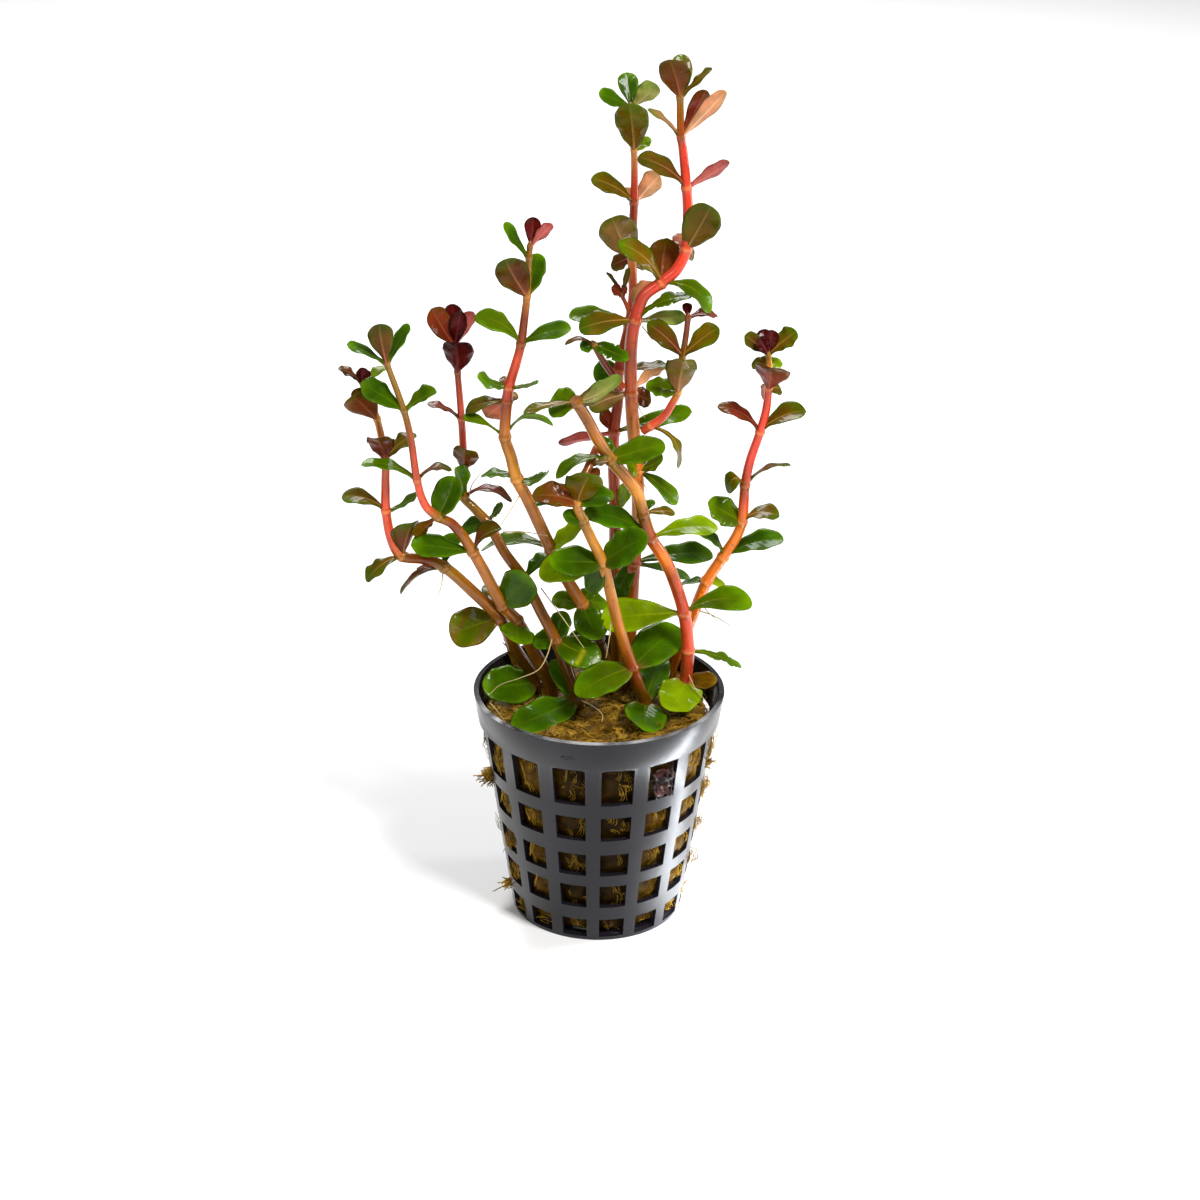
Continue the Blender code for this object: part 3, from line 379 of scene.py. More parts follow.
            (2, 629, 268, 8, 2.2, 60, 0, 0.1, "spoon", "olive"),
        ],
    },
    "left_side_shoot": {
        "girth": (1.5, 1.1),
        "tones": "rust dark dark olive",
        "rooted": False,
        "stem": [
            (623, 388, 4), (613, 375, 4), (603, 361, 3.5), (594, 345, 3),
        ],
        "leaves": [
            (3, 628, 360, 1, 4.5, 40, 0, 0.1, "oval", "deep"),
            (3, 565, 344, 2, 3, 70, 0.2, 0.1, "spoon", "brown"),
            (3, 580, 348, 2.5, 3.5, 45, 0, 0.1, "oval", "deep"),
        ],
    },
    "right_side_shoot": {
        "girth": (1.7, 1),
        "tones": "rust coral coral coral straw dark olive dark dark",
        "rooted": False,
        "stem": [
            (643, 431, 5), (651, 426, 4.5), (664, 416, 4), (672, 404, 3.5),
            (678, 392, 3.5), (681, 372, 3.5), (682.5, 357, 3.5), (686, 335, 3.5),
            (688, 318, 3.5),
        ],
        "leaves": [
            (1, 678, 469, 2, 4, 64, 0.25, 0.1, "spoon", "olive"),
            (4, 646, 384, 4.5, 5.5, 45, 0, 0.1, "oval", "green"),
            (4, 684, 361, -2.5, 6, 172, 0, 0.4, "round", "khaki"),
            (6, 648, 323, 2.5, 5.4, 38, 0.1, 0.1, "spoon", "bronze"),
            (6, 719, 328, 3, 5, 40, 0.05, 0.15, "spoon", "olive"),
            (8, 717, 314, 3.5, 3.4, 55, 0.1, 0.1, "spoon", "mauve"),
            (8, 687, 303, 3.5, 2, 20, 0, 0.2, "spoon", "maroon"),
        ],
    },
    "cut_top_shoot": {
        "girth": (2.6, 2.2),
        "tones": "red coral coral rust amber rust brown straw tan olive tan brown brown",
        "cut": True,
        "stem": [
            (686, 680, 4), (688, 650, 3), (684, 613, 2), (672, 575, 1),
            (662, 555, 0), (651, 538, -1), (643, 514, -2), (637, 493, -3),
            (625, 476, -4), (611, 460, -5), (598, 440, -6), (588, 421, -7),
            (577, 403, -8),
        ],
        "leaves": [
            (0, 670, 711, -6, 8.8, 10, 0, 0.08, "heart", "fresh"),
            (0, 717, 680, 4, 4.4, 40, 0, 0.1, "oval", "dead"),
            (1, 741, 668, 4, 4.4, 62, 0.06, 0.1, "spoon", "green"),
            (2, 601, 618, -2, 7.6, 28, 0.05, 0.25, "spoon", "fresh"),
            (2, 752, 602, 1, 6.5, 45, 0.14, 0.1, "spoon", "green"),
            (5, 583, 513, -4, 6, 42, 0.12, 0.1, "spoon", "deep"),
            (5, 718, 528, -1, 6, 46, 0.1, 0.1, "spoon", "fresh"),
            (6, 652, 499, -1.5, 2.2, 30, 0, 0.1, "spoon", "deep"),
            (6, 675, 513, -1, 2.8, 50, 0.1, 0.1, "spoon", "olive"),
            (6, 641, 497, -1, 2.2, 20, 0, 0.1, "spoon", "brown"),
            (9, 556, 478, -6, 4.4, 62, 0.2, 0.1, "spoon", "green"),
            (9, 594, 463, -5.5, 3, 130, 0, 0.1, "oval", "khaki"),
            (9, 665, 444, -4, 6, 36, 0.05, 0.12, "oval", "green"),
            (9, 600, 436, -5, 3.4, 20, 0, 0.1, "oval", "deep"),
            (12, 621, 376, -7, 5, 50, -0.1, 0.3, "oval", "pale"),
            (12, 523, 411, -9, 4, 68, 0.05, 0.1, "spoon", "olive"),
            (12, 549, 403, -6, 6.6, 30, 0, 0.1, "oval", "green"),
            (12, 603, 392, -5, 4, 140, 0, 0.1, "oval", "khaki"),
        ],
    },
    "centre_shoot": {
        "girth": (2.6, 1.6),
        "tones": "bark bark rust tan tan straw straw olive straw brown salmon",
        "cut": True,
        "stem": [
            (645, 703, -1), (640, 690, -1.5), (632, 668, -2), (620, 630, -3.5),
            (612, 600, -4.5), (603, 563, -6), (592, 540, -7), (583, 520, -7.5),
            (577, 503, -8), (586, 474, -6), (595, 452, -3),
        ],
        "leaves": [
            (0, 661, 655, 3, 6.5, 20, 0, 0.1, "oval", "deep"),
            (0, 646, 730, -12.5, 8.8, 15, 0, 0.1, "heart", "deep"),
            (2, 680, 627, 4.5, 8.6, 20, 0.03, 0.08, "oval", "deep"),
            (2, 576, 694, -9, 7.6, 28, 0.05, 0.1, "oval", "green"),
            (5, 550, 561, -8, 7, 33, 0.03, 0.1, "oval", "deep"),
            (5, 648, 537, -6, 7.6, 28, 0.05, 0.1, "oval", "deep"),
            (5, 539, 573, -3, 7.4, 30, 0.05, 0.1, "oval", "fresh"),
            (5, 586, 592, -3, 5, 25, 0, 0.1, "oval", "deep"),
            (7, 563, 514, -9, 3, 15, 0, 0.1, "oval", "deep"),
            (8, 532, 496, -9, 5.5, 30, 0.15, 0.3, "oval", "brown"),
            (8, 535, 505, -10, 4.4, 60, 0.1, 0.1, "spoon", "deep"),
            (8, 590, 474, -12, 7.2, 170, 0, 0.15, "round", "olive"),
            (8, 614, 495, -8, 5.5, 40, 0.05, 0.1, "oval", "deep"),
            (9, 600, 474, -7.5, 3, 40, 0, 0.1, "oval", "brown"),
        ],
    },
    "right_shoot": {
        "girth": (2.4, 2.3, 2, 1.6, 0.9),
        "tones": (
            "brown amber amber amber amber amber amber coral rust scarlet scarlet scarlet coral "
            "straw olive"
        ),
        "stem": [
            (671, 672, 12.5), (683, 640, 11), (694, 612, 9.5), (707, 581, 8),
            (723, 557, 6.5), (736, 537, 5.5), (742, 521, 4.5), (744, 500, 4),
            (745, 485, 3.5), (750, 461, 3), (760, 432, 2), (766, 410, 1.5),
            (768.5, 388, 1), (769, 366, 1), (768.5, 355, 1),
        ],
        "leaves": [
            (3, 678, 585, 8, 4.5, 66, 0.05, 0.1, "spoon", "deep"),
            (3, 725, 583, 10, 4, 55, 0, 0.1, "oval", "fresh"),
            (4, 698, 531, 5, 4, 62, 0.18, 0.1, "spoon", "deep"),
            (4, 783, 538, 5, 6, 46, 0.08, 0.15, "spoon", "deep"),
            (6, 709, 502, 3, 6, 28, 0, 0.1, "oval", "green"),
            (6, 779, 515, 2.5, 5.4, 58, 0.15, 0.15, "spoon", "olive"),
            (8, 727, 492, 2.5, 4.6, 40, 0.75, 0.1, "spoon", "olive"),
            (8, 791, 466, 2.5, 3.4, 74, 0.15, 0.1, "spoon", "bronze"),
            (10, 719, 405, 1, 4.6, 58, 0.14, 0.1, "spoon", "redbrown"),
            (10, 806, 411, 1, 5.2, 48, 0.1, 0.3, "spoon", "olive"),
            (12, 771, 367, -6, 6.8, 172, 0, 0.35, "round", "mauve"),
            (12, 762, 395, 3.5, 3, 30, 0, 0.1, "oval", "beige"),
            (12, 781, 388, 3.5, 3.4, 30, 0, 0.1, "oval", "olive"),
            (13, 753, 361, 3, 3.6, 30, 0, 0.1, "oval", "olive"),
            (13, 780, 360, 3, 3, 30, 0, 0.1, "oval", "fresh"),
            (14, 745, 335, 0.5, 3.6, 40, 0, 0.15, "spoon", "bronze"),
            (14, 763, 329, 3, 3, 15, 0, 0.1, "spoon", "maroon"),
            (14, 759, 338, -0.5, 3, 20, 0, 0.3, "spoon", "maroon"),
            (14, 772, 330, 1, 3, 15, 0, 0.2, "spoon", "maroon"),
            (14, 796, 331, 0.5, 4.6, 40, 0, 0.15, "spoon", "olive"),
        ],
    },
}

# Thin roots that grow from the stems into the air, as readings of the points they pass
aerialRoots = {
    "thickness": 0.30 * mm,
    "taper": 0.55,
    "sides": 6,
    "sample": 0.3 * mm,
    "tone": (200, 176, 122),
    "paths": [
        [(443, 573, 2), (441, 587, 1), (436, 600, 0)],
        [(469, 497, 6), (472, 485, 5), (480, 474, 4)],
        [(521, 493, 2.5), (512, 508, 0), (500, 526, -2)],
        [(503, 532, 4), (525, 532, 1), (548, 536, -1)],
        [(541, 588, 2.5), (560, 614, -3), (574, 634, -5), (584, 648, -6)],
        [
            (553, 636, 1.5), (546, 658, -4), (538, 670, -6), (520, 678, -7), (500, 685, -7),
            (490, 694, -8),
        ],
        [(490, 703, -8), (498, 712, -10), (506, 723, -12)],
        [(580, 700, -1), (592, 706, -5), (602, 714, -8), (602, 722, -11)],
        [(611, 622, -4), (609, 640, -5.5), (606, 658, -6.5)],
        [(637, 402, 5), (640, 410, 2), (645, 418, 0)],
        [(640, 480, 6), (645, 486, 4), (647, 491, 2)],
        [(642, 326, 5), (648, 334, 3), (653, 341, 2)],
        [(700, 600, 9), (708, 612, 8), (717, 620, 7)],
        [(697, 610, 9), (714, 616, 7), (731, 626, 6)],
        [(686, 668, 4), (696, 690, 0), (705, 700, -2)],
    ],
}


# What each row of a shoot's leaves holds, in its order
leafReading = namedtuple("leafReading", "point across down back width turn arch cup form shade")

# The screen's tone curve, from a 0 to 255 colour to the linear one that shaders take
screenCurve = {"white": 255, "toe": 10, "slope": 12.92, "offset": 0.055, "power": 2.4}


def linearPart(value):
    share = value / screenCurve["white"]
    if value <= screenCurve["toe"]:
        return share / screenCurve["slope"]
    return ((share + screenCurve["offset"]) / (1 + screenCurve["offset"])) ** screenCurve["power"]


def linear(colour):
    return tuple(linearPart(value) for value in colour)


def paint(colour):
    return (*linear(colour), 1)


def eyeAndAxes():
    forward = Vector((0, math.cos(viewpoint["lookDown"]), -math.sin(viewpoint["lookDown"])))
    level = Vector((1, 0, 0))
    upright = level.cross(forward)
    right = level * math.cos(viewpoint["roll"]) + upright * math.sin(viewpoint["roll"])
    up = upright * math.cos(viewpoint["roll"]) - level * math.sin(viewpoint["roll"])
    eyePoint = Vector((0, 0, viewpoint["lookHeight"])) - forward * viewpoint["distance"]
    return eyePoint, forward, right, up


eye, ahead, rightward, upward = eyeAndAxes()


# The point that a reading stands for
def place(across, down, back):
    middle = viewpoint["frame"] / 2
    ray = ahead + rightward * ((across - middle) / viewpoint["focal"])
    ray = ray - upward * ((down - middle) / viewpoint["focal"])
    return eye + ray * ((back * mm - eye.y) / ray.y)


def addObject(name, mesh):
    made = bpy.data.objects.new(name, mesh)
    bpy.context.scene.collection.objects.link(made)
    return made


# The object's mesh as its modifiers make it, in place
def evaluatedMesh(made):
    bpy.context.view_layer.update()
    graph = bpy.context.evaluated_depsgraph_get()
    mesh = bpy.data.meshes.new_from_object(made.evaluated_get(graph))
    mesh.transform(made.matrix_world)
    return mesh


# Turns an object with modifiers into a plain mesh that sits at the origin
def settle(made):
    mesh = evaluatedMesh(made)
    made.modifiers.clear()
    made.data = mesh
    made.matrix_world = Matrix.Identity(4)
    mesh.name = made.name
    mesh.shade_smooth()
    return made


# Turns the faces outward and writes them to the mesh
def write(shape, mesh):
    bmesh.ops.recalc_face_normals(shape, faces=shape.faces)
    shape.to_mesh(mesh)
    shape.free()
    return mesh


# One object from several
def joined(name, pieces):
    bpy.ops.object.select_all(action="DESELECT")
    for piece in pieces:
        piece.select_set(True)
    bpy.context.view_layer.objects.active = pieces[0]
    bpy.ops.object.join()
    pieces[0].name = name
    pieces[0].data.name = name
    pieces[0].select_set(False)
    return pieces[0]


# Node trees

# A Geometry Nodes tree with geometry in and out, and named inputs of (kind, value)
def newTree(name, inputs):
    tree = bpy.data.node_groups.new(name, "GeometryNodeTree")
    tree.interface.new_socket("Geometry", in_out="INPUT", socket_type="NodeSocketGeometry")
    tree.interface.new_socket("Geometry", in_out="OUTPUT", socket_type="NodeSocketGeometry")
    for label, (kind, value) in inputs.items():
        socket = tree.interface.new_socket(label, in_out="INPUT", socket_type="NodeSocket" + kind)
        if value is not None:
            socket.default_value = value
    return tree, tree.nodes.new("NodeGroupInput").outputs


# A node with its settings, and each input set to a value or linked to a socket
def addNode(tree, kind, inputs=None, **settings):
    node = tree.nodes.new(kind)
    for setting, value in settings.items():
        setattr(node, setting, value)
    for key, value in (inputs or {}).items():
        if isinstance(value, bpy.types.NodeSocket):
            tree.links.new(value, node.inputs[key])
        else:
            node.inputs[key].default_value = value
    return node


def mathNode(tree, operation, first, second=0.0):
    return addNode(tree, "ShaderNodeMath", {0: first, 1: second}, operation=operation).outputs[0]


def times(tree, first, second):
    return mathNode(tree, "MULTIPLY", first, second)


def vectorNode(tree, operation, first, second):
    key = "Scale" if operation == "SCALE" else 1
    return addNode(tree, "ShaderNodeVectorMath", {0: first, key: second}, operation=operation).outputs[0]


def namedValue(tree, name):
    return addNode(tree, "GeometryNodeInputNamedAttribute", {"Name": name}, data_type="FLOAT").outputs[0]


# Gives the geometry the tree's own material, and ends the tree
def finishTree(tree, geometry, given):
    painted = addNode(
        tree, "GeometryNodeSetMaterial", {"Geometry": geometry, "Material": given["Material"]}
    )
    tree.links.new(painted.outputs[0], tree.nodes.new("NodeGroupOutput").inputs[0])
    return tree


# Runs the tree on the object with these inputs, and leaves a plain mesh
def applyTree(made, tree, values):
    modifier = made.modifiers.new(tree.name, "NODES")
    modifier.node_group = tree
    for item in tree.interface.items_tree:
        if item.item_type == "SOCKET" and item.in_out == "INPUT" and item.name in values:
            modifier[item.identifier] = values[item.name]
    return settle(made)


# Materials

def newMaterial(name, values):
    material = bpy.data.materials.new(name)
    material.use_nodes = True
    surface = material.node_tree.nodes["Principled BSDF"]
    for key, value in values.items():
        surface.inputs[key].default_value = value
    return material, material.node_tree, surface


def attribute(tree, name):
    return addNode(tree, "ShaderNodeAttribute", attribute_name=name).outputs


def objectPlace(tree):
    return addNode(tree, "ShaderNodeTexCoord").outputs["Object"]


# Noise over the object's own coordinates, or others, in features of 1 / scale metres
def noiseOver(tree, scale, detail, where=None):
    inputs = {"Vector": where or objectPlace(tree), "Scale": scale, "Detail": detail}
    return addNode(tree, "ShaderNodeTexNoise", inputs).outputs[0]


# Maps value from start..end to low..high
def ramp(tree, value, low, high, start=0.0, end=1.0):
    inputs = {"Value": value, "From Min": start, "From Max": end, "To Min": low, "To Max": high}
    return addNode(tree, "ShaderNodeMapRange", inputs).outputs["Result"]


# Maps value from start..end to swing below and above 1
def varied(tree, value, swing, start, end):
    return ramp(tree, value, 1 - swing, 1 + swing, start, end)


def mixedColour(tree, share, first, second):
    inputs = {0: share, 6: first, 7: second}
    return addNode(tree, "ShaderNodeMix", inputs, data_type="RGBA", clamp_factor=True).outputs[2]


def addBump(tree, surface, height, distance, strength=1.0):
    bump = addNode(tree, "ShaderNodeBump", {"Height": height, "Distance": distance, "Strength": strength})
    tree.links.new(bump.outputs["Normal"], surface.inputs["Normal"])
    return bump.outputs["Normal"]


# Each noise is its features in a metre and its detail
leafLook = {
    "surface": {"Specular IOR Level": 0.05, "Coat Weight": 0.26, "Coat Roughness": 0.11},
    "roughness": (0.18, 0.36),
    "throughLight": 0.34,
    "throughTint": (1.6, 1.5, 0.9),
    "veinSpacing": 1.35,  # millimetres between side veins
    "veinSlant": 0.9,
    "veinWander": 0.35,
    "veinEdge": 0.55,
    "veinStrength": 0.05,
    "quilt": 0.008 * mm,  # how far the blade swells between them
    "quiltStrength": 0.8,
    "pores": 0.5,
    "blotch": 0.13,
    "cloud": 0.30,
    "uneven": (0.3, 0.7),
    "ribWidth": (0.0525, 0.24),  # millimetres from the middle where the midrib starts to fade and ends
    "margin": 0.17,  # millimetres of darker edge
    "marginShade": 0.42,
    "flush": 0.75,  # how far the patches of the other colour go
    "flushEdge": (0.42, 0.62),
    "noise": {
        "wander": (500, 3), "blotch": (420, 4), "cloud": (150, 2), "flush": (230, 2), "rough": (900, 3),
        "pores": (1500, 2),
    },
}


def leafMaterial():
    look, grain = leafLook, leafLook["noise"]
    material, tree, surface = newMaterial("leaf", look["surface"])
    flush, rib = attribute(tree, "flush"), attribute(tree, "rib")
    parts = addNode(tree, "ShaderNodeSeparateXYZ", {0: attribute(tree, "blade")["Vector"]}).outputs
    sideways = mathNode(tree, "ABSOLUTE", parts["Y"])
    # The side veins, which leave the midrib at a slant
    slanted = mathNode(tree, "SUBTRACT", parts["X"], times(tree, sideways, look["veinSlant"]))
    wander = ramp(tree, noiseOver(tree, *grain["wander"]), -look["veinWander"], look["veinWander"])
    phase = mathNode(tree, "ADD", slanted, wander)
    wave = mathNode(tree, "COSINE", times(tree, phase, math.tau / look["veinSpacing"]))
    vein = ramp(tree, wave, 0.0, 1.0, look["veinEdge"], 1.0)
    # The blade's own tone, lighter and darker over it, with patches of the other tone
    blotch = varied(tree, noiseOver(tree, *grain["blotch"]), look["blotch"], *look["uneven"])
    cloud = varied(tree, noiseOver(tree, *grain["cloud"]), look["cloud"], *look["uneven"])
    lighter = mathNode(tree, "ADD", blotch, times(tree, vein, look["veinStrength"]))
    margin = ramp(tree, parts["Z"], 1 - look["marginShade"], 1, 0, look["margin"])
    lighter = times(tree, times(tree, lighter, cloud), margin)
    patches = ramp(tree, noiseOver(tree, *grain["flush"]), 0, look["flush"], *look["flushEdge"])
    share = times(tree, patches, flush["Alpha"])
    colour = mixedColour(tree, share, attribute(tree, "tone")["Color"], flush["Color"])
    colour = vectorNode(tree, "SCALE", colour, lighter)
    middle = ramp(tree, sideways, 1, 0, *look["ribWidth"])
    colour = mixedColour(tree, times(tree, middle, rib["Alpha"]), colour, rib["Color"])
    tree.links.new(colour, surface.inputs["Base Color"])
    rough = ramp(tree, noiseOver(tree, *grain["rough"]), *look["roughness"])
    tree.links.new(rough, surface.inputs["Roughness"])
    pores = times(tree, noiseOver(tree, *grain["pores"]), look["pores"])
    height = mathNode(tree, "SUBTRACT", pores, wave)
    normal = addBump(tree, surface, height, look["quilt"], look["quiltStrength"])
    tree.links.new(normal, surface.inputs["Coat Normal"])
    glow = vectorNode(tree, "MULTIPLY", colour, look["throughTint"])
    through = addNode(tree, "ShaderNodeBsdfTranslucent", {"Normal": normal, "Color": glow})
    mixed = addNode(
        tree, "ShaderNodeMixShader",
        {0: look["throughLight"], 1: surface.outputs[0], 2: through.outputs[0]},
    )
    tree.links.new(mixed.outputs[0], tree.nodes["Material Output"].inputs["Surface"])
    return material


stemLook = {
    "surface": {
        "Roughness": 0.30, "Specular IOR Level": 0.15, "Coat Weight": 0.62, "Coat Roughness": 0.09,
        "Subsurface Weight": 0.12, "Subsurface Radius": (1.0, 0.35, 0.15), "Subsurface Scale": 0.8 * mm,
    },
    "streak": 0.30,
    "streakShare": 0.65,  # the rest is broad patches
    "streakEdge": (0.36, 0.64),
    "speck": 0.35,
    "speckEdge": (0.68, 0.74),
    "groove": 0.05 * mm,
    "grooveStrength": 0.5,
    "stretch": 0.07,
    "noise": {"streak": (1300, 2), "patch": (260, 2), "speck": (1100, 1)},
}


def stemMaterial():
    look, grain = stemLook, stemLook["noise"]
    material, tree, surface = newMaterial("stem", look["surface"])
    # Streaks that follow the stem: noise over its round section and its length
    run = times(tree, attribute(tree, "run")["Fac"], look["stretch"])
    lengthwise = addNode(tree, "ShaderNodeCombineXYZ", {"Z": run}).outputs[0]
    around = vectorNode(tree, "SCALE", attribute(tree, "round")["Vector"], 1 * mm)
    streaks = noiseOver(tree, *grain["streak"], vectorNode(tree, "ADD", around, lengthwise))
    patches = noiseOver(tree, *grain["patch"])
    share = look["streakShare"]
    both = mathNode(tree, "ADD", times(tree, streaks, share), times(tree, patches, 1 - share))
    change = varied(tree, both, look["streak"], *look["streakEdge"])
    specks = ramp(tree, noiseOver(tree, *grain["speck"]), 1, 1 - look["speck"], *look["speckEdge"])
    shade = times(tree, change, specks)
    colour = vectorNode(tree, "SCALE", attribute(tree, "tone")["Color"], shade)
    tree.links.new(colour, surface.inputs["Base Color"])
    addBump(tree, surface, streaks, look["groove"], look["grooveStrength"])
    return material


potLook = {
    "surface": {"Base Color": (0.011, 0.010, 0.014, 1), "Specular IOR Level": 0.36},
    "roughness": (0.14, 0.24),
    "uneven": (0.3, 0.7),
    "grain": 0.006 * mm,
    "grainStrength": 0.4,
    "noise": {"cloud": (90, 3), "grain": (2600, 2)},
}


def potMaterial():
    look, grain = potLook, potLook["noise"]
    material, tree, surface = newMaterial("potPlastic", look["surface"])
    rough = ramp(tree, noiseOver(tree, *grain["cloud"]), *look["roughness"], *look["uneven"])
    tree.links.new(rough, surface.inputs["Roughness"])
    addBump(tree, surface, noiseOver(tree, *grain["grain"]), look["grain"], look["grainStrength"])
    return material


woolLook = {
    "surface": {"Roughness": 0.45, "Specular IOR Level": 0.06},
    "patchEdge": (0.35, 0.65),
    "fuzz": 0.15 * mm,
    "fuzzStrength": 0.8,
    "fuzzNoise": (2400, 3),
    "shadeEdge": (6 * mm, 13 * mm),  # how far to the sides the painted shade starts to fade and is gone
    "wetTop": (3 * mm, 1 * mm),  # how far below the top the painted shade starts to fade and is gone
    # The last value of each is how much the painted shade darkens it
    "plug": {"dark": (58, 38, 0), "light": (106, 74, 6), "noise": (500, 5), "paintedShade": 0.78},
    "fibre": {"dark": (104, 76, 8), "light": (206, 162, 60), "noise": (380, 5), "paintedShade": 0.30},
}


def woolMaterial(name, kind):
    look, tones = woolLook, woolLook[kind]
    material, tree, surface = newMaterial(name, look["surface"])
    patches = ramp(tree, noiseOver(tree, *tones["noise"]), 0, 1, *look["patchEdge"])
    colour = mixedColour(tree, patches, paint(tones["dark"]), paint(tones["light"]))
    # Below its top the wool is painted darker at the front and the back: a painted shade for the recesses
    # behind the pot's wall
    where = addNode(tree, "ShaderNodeSeparateXYZ", {0: objectPlace(tree)}).outputs
    centre = ramp(tree, mathNode(tree, "ABSOLUTE", where["X"]), 1, 0, *look["shadeEdge"])
    below = ramp(tree, where["Z"], 1, 0, *(clearing["woolTop"] - depth for depth in look["wetTop"]))
    shaded = times(tree, times(tree, centre, below), tones["paintedShade"])
    colour = vectorNode(tree, "SCALE", colour, mathNode(tree, "SUBTRACT", 1.0, shaded))
    tree.links.new(colour, surface.inputs["Base Color"])
    addBump(tree, surface, noiseOver(tree, *look["fuzzNoise"]), look["fuzz"], look["fuzzStrength"])
    return material


rootLook = {
    "surface": {"Roughness": 0.4},
    "shade": (0.6, 1.1),
    "uneven": (0.3, 0.7),
    "bark": 0.05 * mm,
    "barkStrength": 0.5,
    "noise": {"shade": (300, 3), "bark": (1500, 2)},
}


def rootMaterial():
    look, grain = rootLook, rootLook["noise"]
    material, tree, surface = newMaterial("root", look["surface"])
    shade = ramp(tree, noiseOver(tree, *grain["shade"]), *look["shade"], *look["uneven"])
    colour = vectorNode(tree, "SCALE", linear(aerialRoots["tone"]), shade)
    tree.links.new(colour, surface.inputs["Base Color"])
    addBump(tree, surface, noiseOver(tree, *grain["bark"]), look["bark"], look["barkStrength"])
    return material


# Net pot

pot = {
    "rimRadius": 25.0 * mm,
    "height": 48.0 * mm,
    "collarDrop": 5.8 * mm,
    "collarStep": 0.7 * mm,
    "baseRadius": 17.4 * mm,
    "hub": 6.0 * mm,
    "slotEnd": 15.2 * mm,
    "wall": 1.0 * mm,
    "columns": 15,
    "stepsPerColumn": 12,
    "holeShare": 2 / 3,
    "firstHole": math.radians(-22.3),
    "holeRows": [(0.8, 5.1), (8.2, 13.5), (16.1, 21.3), (24.7, 30.2), (33.2, 41.3)],  # millimetres up
    "slots": 9,
    "slotShare": 3 / 5,
    "edge": 0.22 * mm,
    "edgeSteps": 2,
    "edgeAngle": math.radians(35),
    "mark": {
        "angle": math.radians(-14), "height": 44.6 * mm, "width": 2.7 * mm, "tall": 1.1 * mm,
        "proud": 0.16 * mm, "dish": 0.8, "dishEnd": 0.75, "sides": 40, "rings": 12,
    },
}


# The pot's outer radius below its collar
def wallRadius(height):
    collarFoot = pot["height"] - pot["collarDrop"]
    taper = (pot["rimRadius"] - pot["collarStep"] - pot["baseRadius"]) / pot["height"]
    return pot["baseRadius"] + taper * min(height, collarFoot)


# An open surface turned about the upright axis, as rows of quads that face outward
def turnedSheet(name, profile, steps, start):
    points = []
    for radius, height in profile:
        for step in range(steps):
            angle = start + math.tau * step / steps
            points.append((radius * math.sin(angle), -radius * math.cos(angle), height))
    faces = []
    for row in range(len(profile) - 1):
        for step in range(steps):
            following = (step + 1) % steps
            low, high = row * steps, (row + 1) * steps
            faces.append((low + step, low + following, high + following, high + step))
    mesh = bpy.data.meshes.new(name)
    mesh.from_pydata(points, [], faces)
    return addObject(name, mesh)


# Opens the faces of a turned sheet that its open rows and their columns cross
def perforationTree():
    inputs = {name: ("Float", None) for name in ("Columns", "Hole Share", "First Hole")}
    inputs.update({"Row": ("String", None), "Material": ("Material", None)})
    tree, given = newTree("perforation", inputs)
    spot = addNode(tree, "GeometryNodeInputPosition").outputs[0]
    where = addNode(tree, "ShaderNodeSeparateXYZ", {0: spot}).outputs
    angle = mathNode(tree, "ARCTAN2", where["X"], times(tree, where["Y"], -1.0))
    turned = mathNode(tree, "ADD", mathNode(tree, "SUBTRACT", angle, given["First Hole"]), math.tau)
    share = mathNode(tree, "DIVIDE", times(tree, turned, given["Columns"]), math.tau)
    inColumn = mathNode(tree, "LESS_THAN", mathNode(tree, "FRACT", share), given["Hole Share"])
    opened = times(tree, inColumn, namedValue(tree, given["Row"]))
    cut = addNode(
        tree, "GeometryNodeDeleteGeometry", {0: given["Geometry"], "Selection": opened}, domain="FACE"
    )
    return finishTree(tree, cut.outputs[0], given)


def buildPot(material):
    foot = pot["height"] - pot["collarDrop"]
    profile = [(pot["hub"], 0), (pot["slotEnd"], 0), (pot["baseRadius"], 0)]
    firstRow, lastRow = len(profile), len(profile) + 2 * len(pot["holeRows"])
    profile += [(wallRadius(edge * mm), edge * mm) for row in pot["holeRows"] for edge in row]
    profile += [(wallRadius(foot) + pot["collarStep"], foot)]
    profile += [(pot["rimRadius"], pot["height"])]
    steps = pot["columns"] * pot["stepsPerColumn"]
    made = turnedSheet("netPotShell", profile, steps, pot["firstHole"])
    openings = {
        "openRow": (range(firstRow, lastRow, 2), pot["columns"], pot["holeShare"]),
        "slotRow": (range(1), pot["slots"], pot["slotShare"]),
    }
    for name, (openRows, _, _) in openings.items():
        opened = [float(face // steps in openRows) for face in range(len(made.data.polygons))]
        made.data.attributes.new(name, "FLOAT", "FACE").data.foreach_set("value", opened)
    tree = perforationTree()
    shared = {"First Hole": pot["firstHole"], "Material": material}
    for name, (_, columns, share) in openings.items():
        applyTree(made, tree, {**shared, "Columns": float(columns), "Hole Share": share, "Row": name})
    shell = bmesh.new()
    shell.from_mesh(made.data)
    hubRing = [edge for edge in shell.edges if edge.is_boundary and atHub(edge)]
    bmesh.ops.holes_fill(shell, edges=hubRing, sides=0)
    write(shell, made.data)
    wall = made.modifiers.new("wall", "SOLIDIFY")
    wall.thickness = pot["wall"]
    wall.offset = -1
    wall.use_even_offset = True
    made.data.shade_smooth()
    soft = made.modifiers.new("soft", "BEVEL")
    soft.width = pot["edge"]
    soft.segments = pot["edgeSteps"]
    soft.limit_method = "ANGLE"
    soft.angle_limit = pot["edgeAngle"]
    soft.harden_normals = True
    settle(made)
    return joined("netPotShell", [made, buildGateMark(material)])


def atHub(edge):
    return all(math.hypot(vertex.co.x, vertex.co.y) < pot["hub"] + pot["edge"] for vertex in edge.verts)


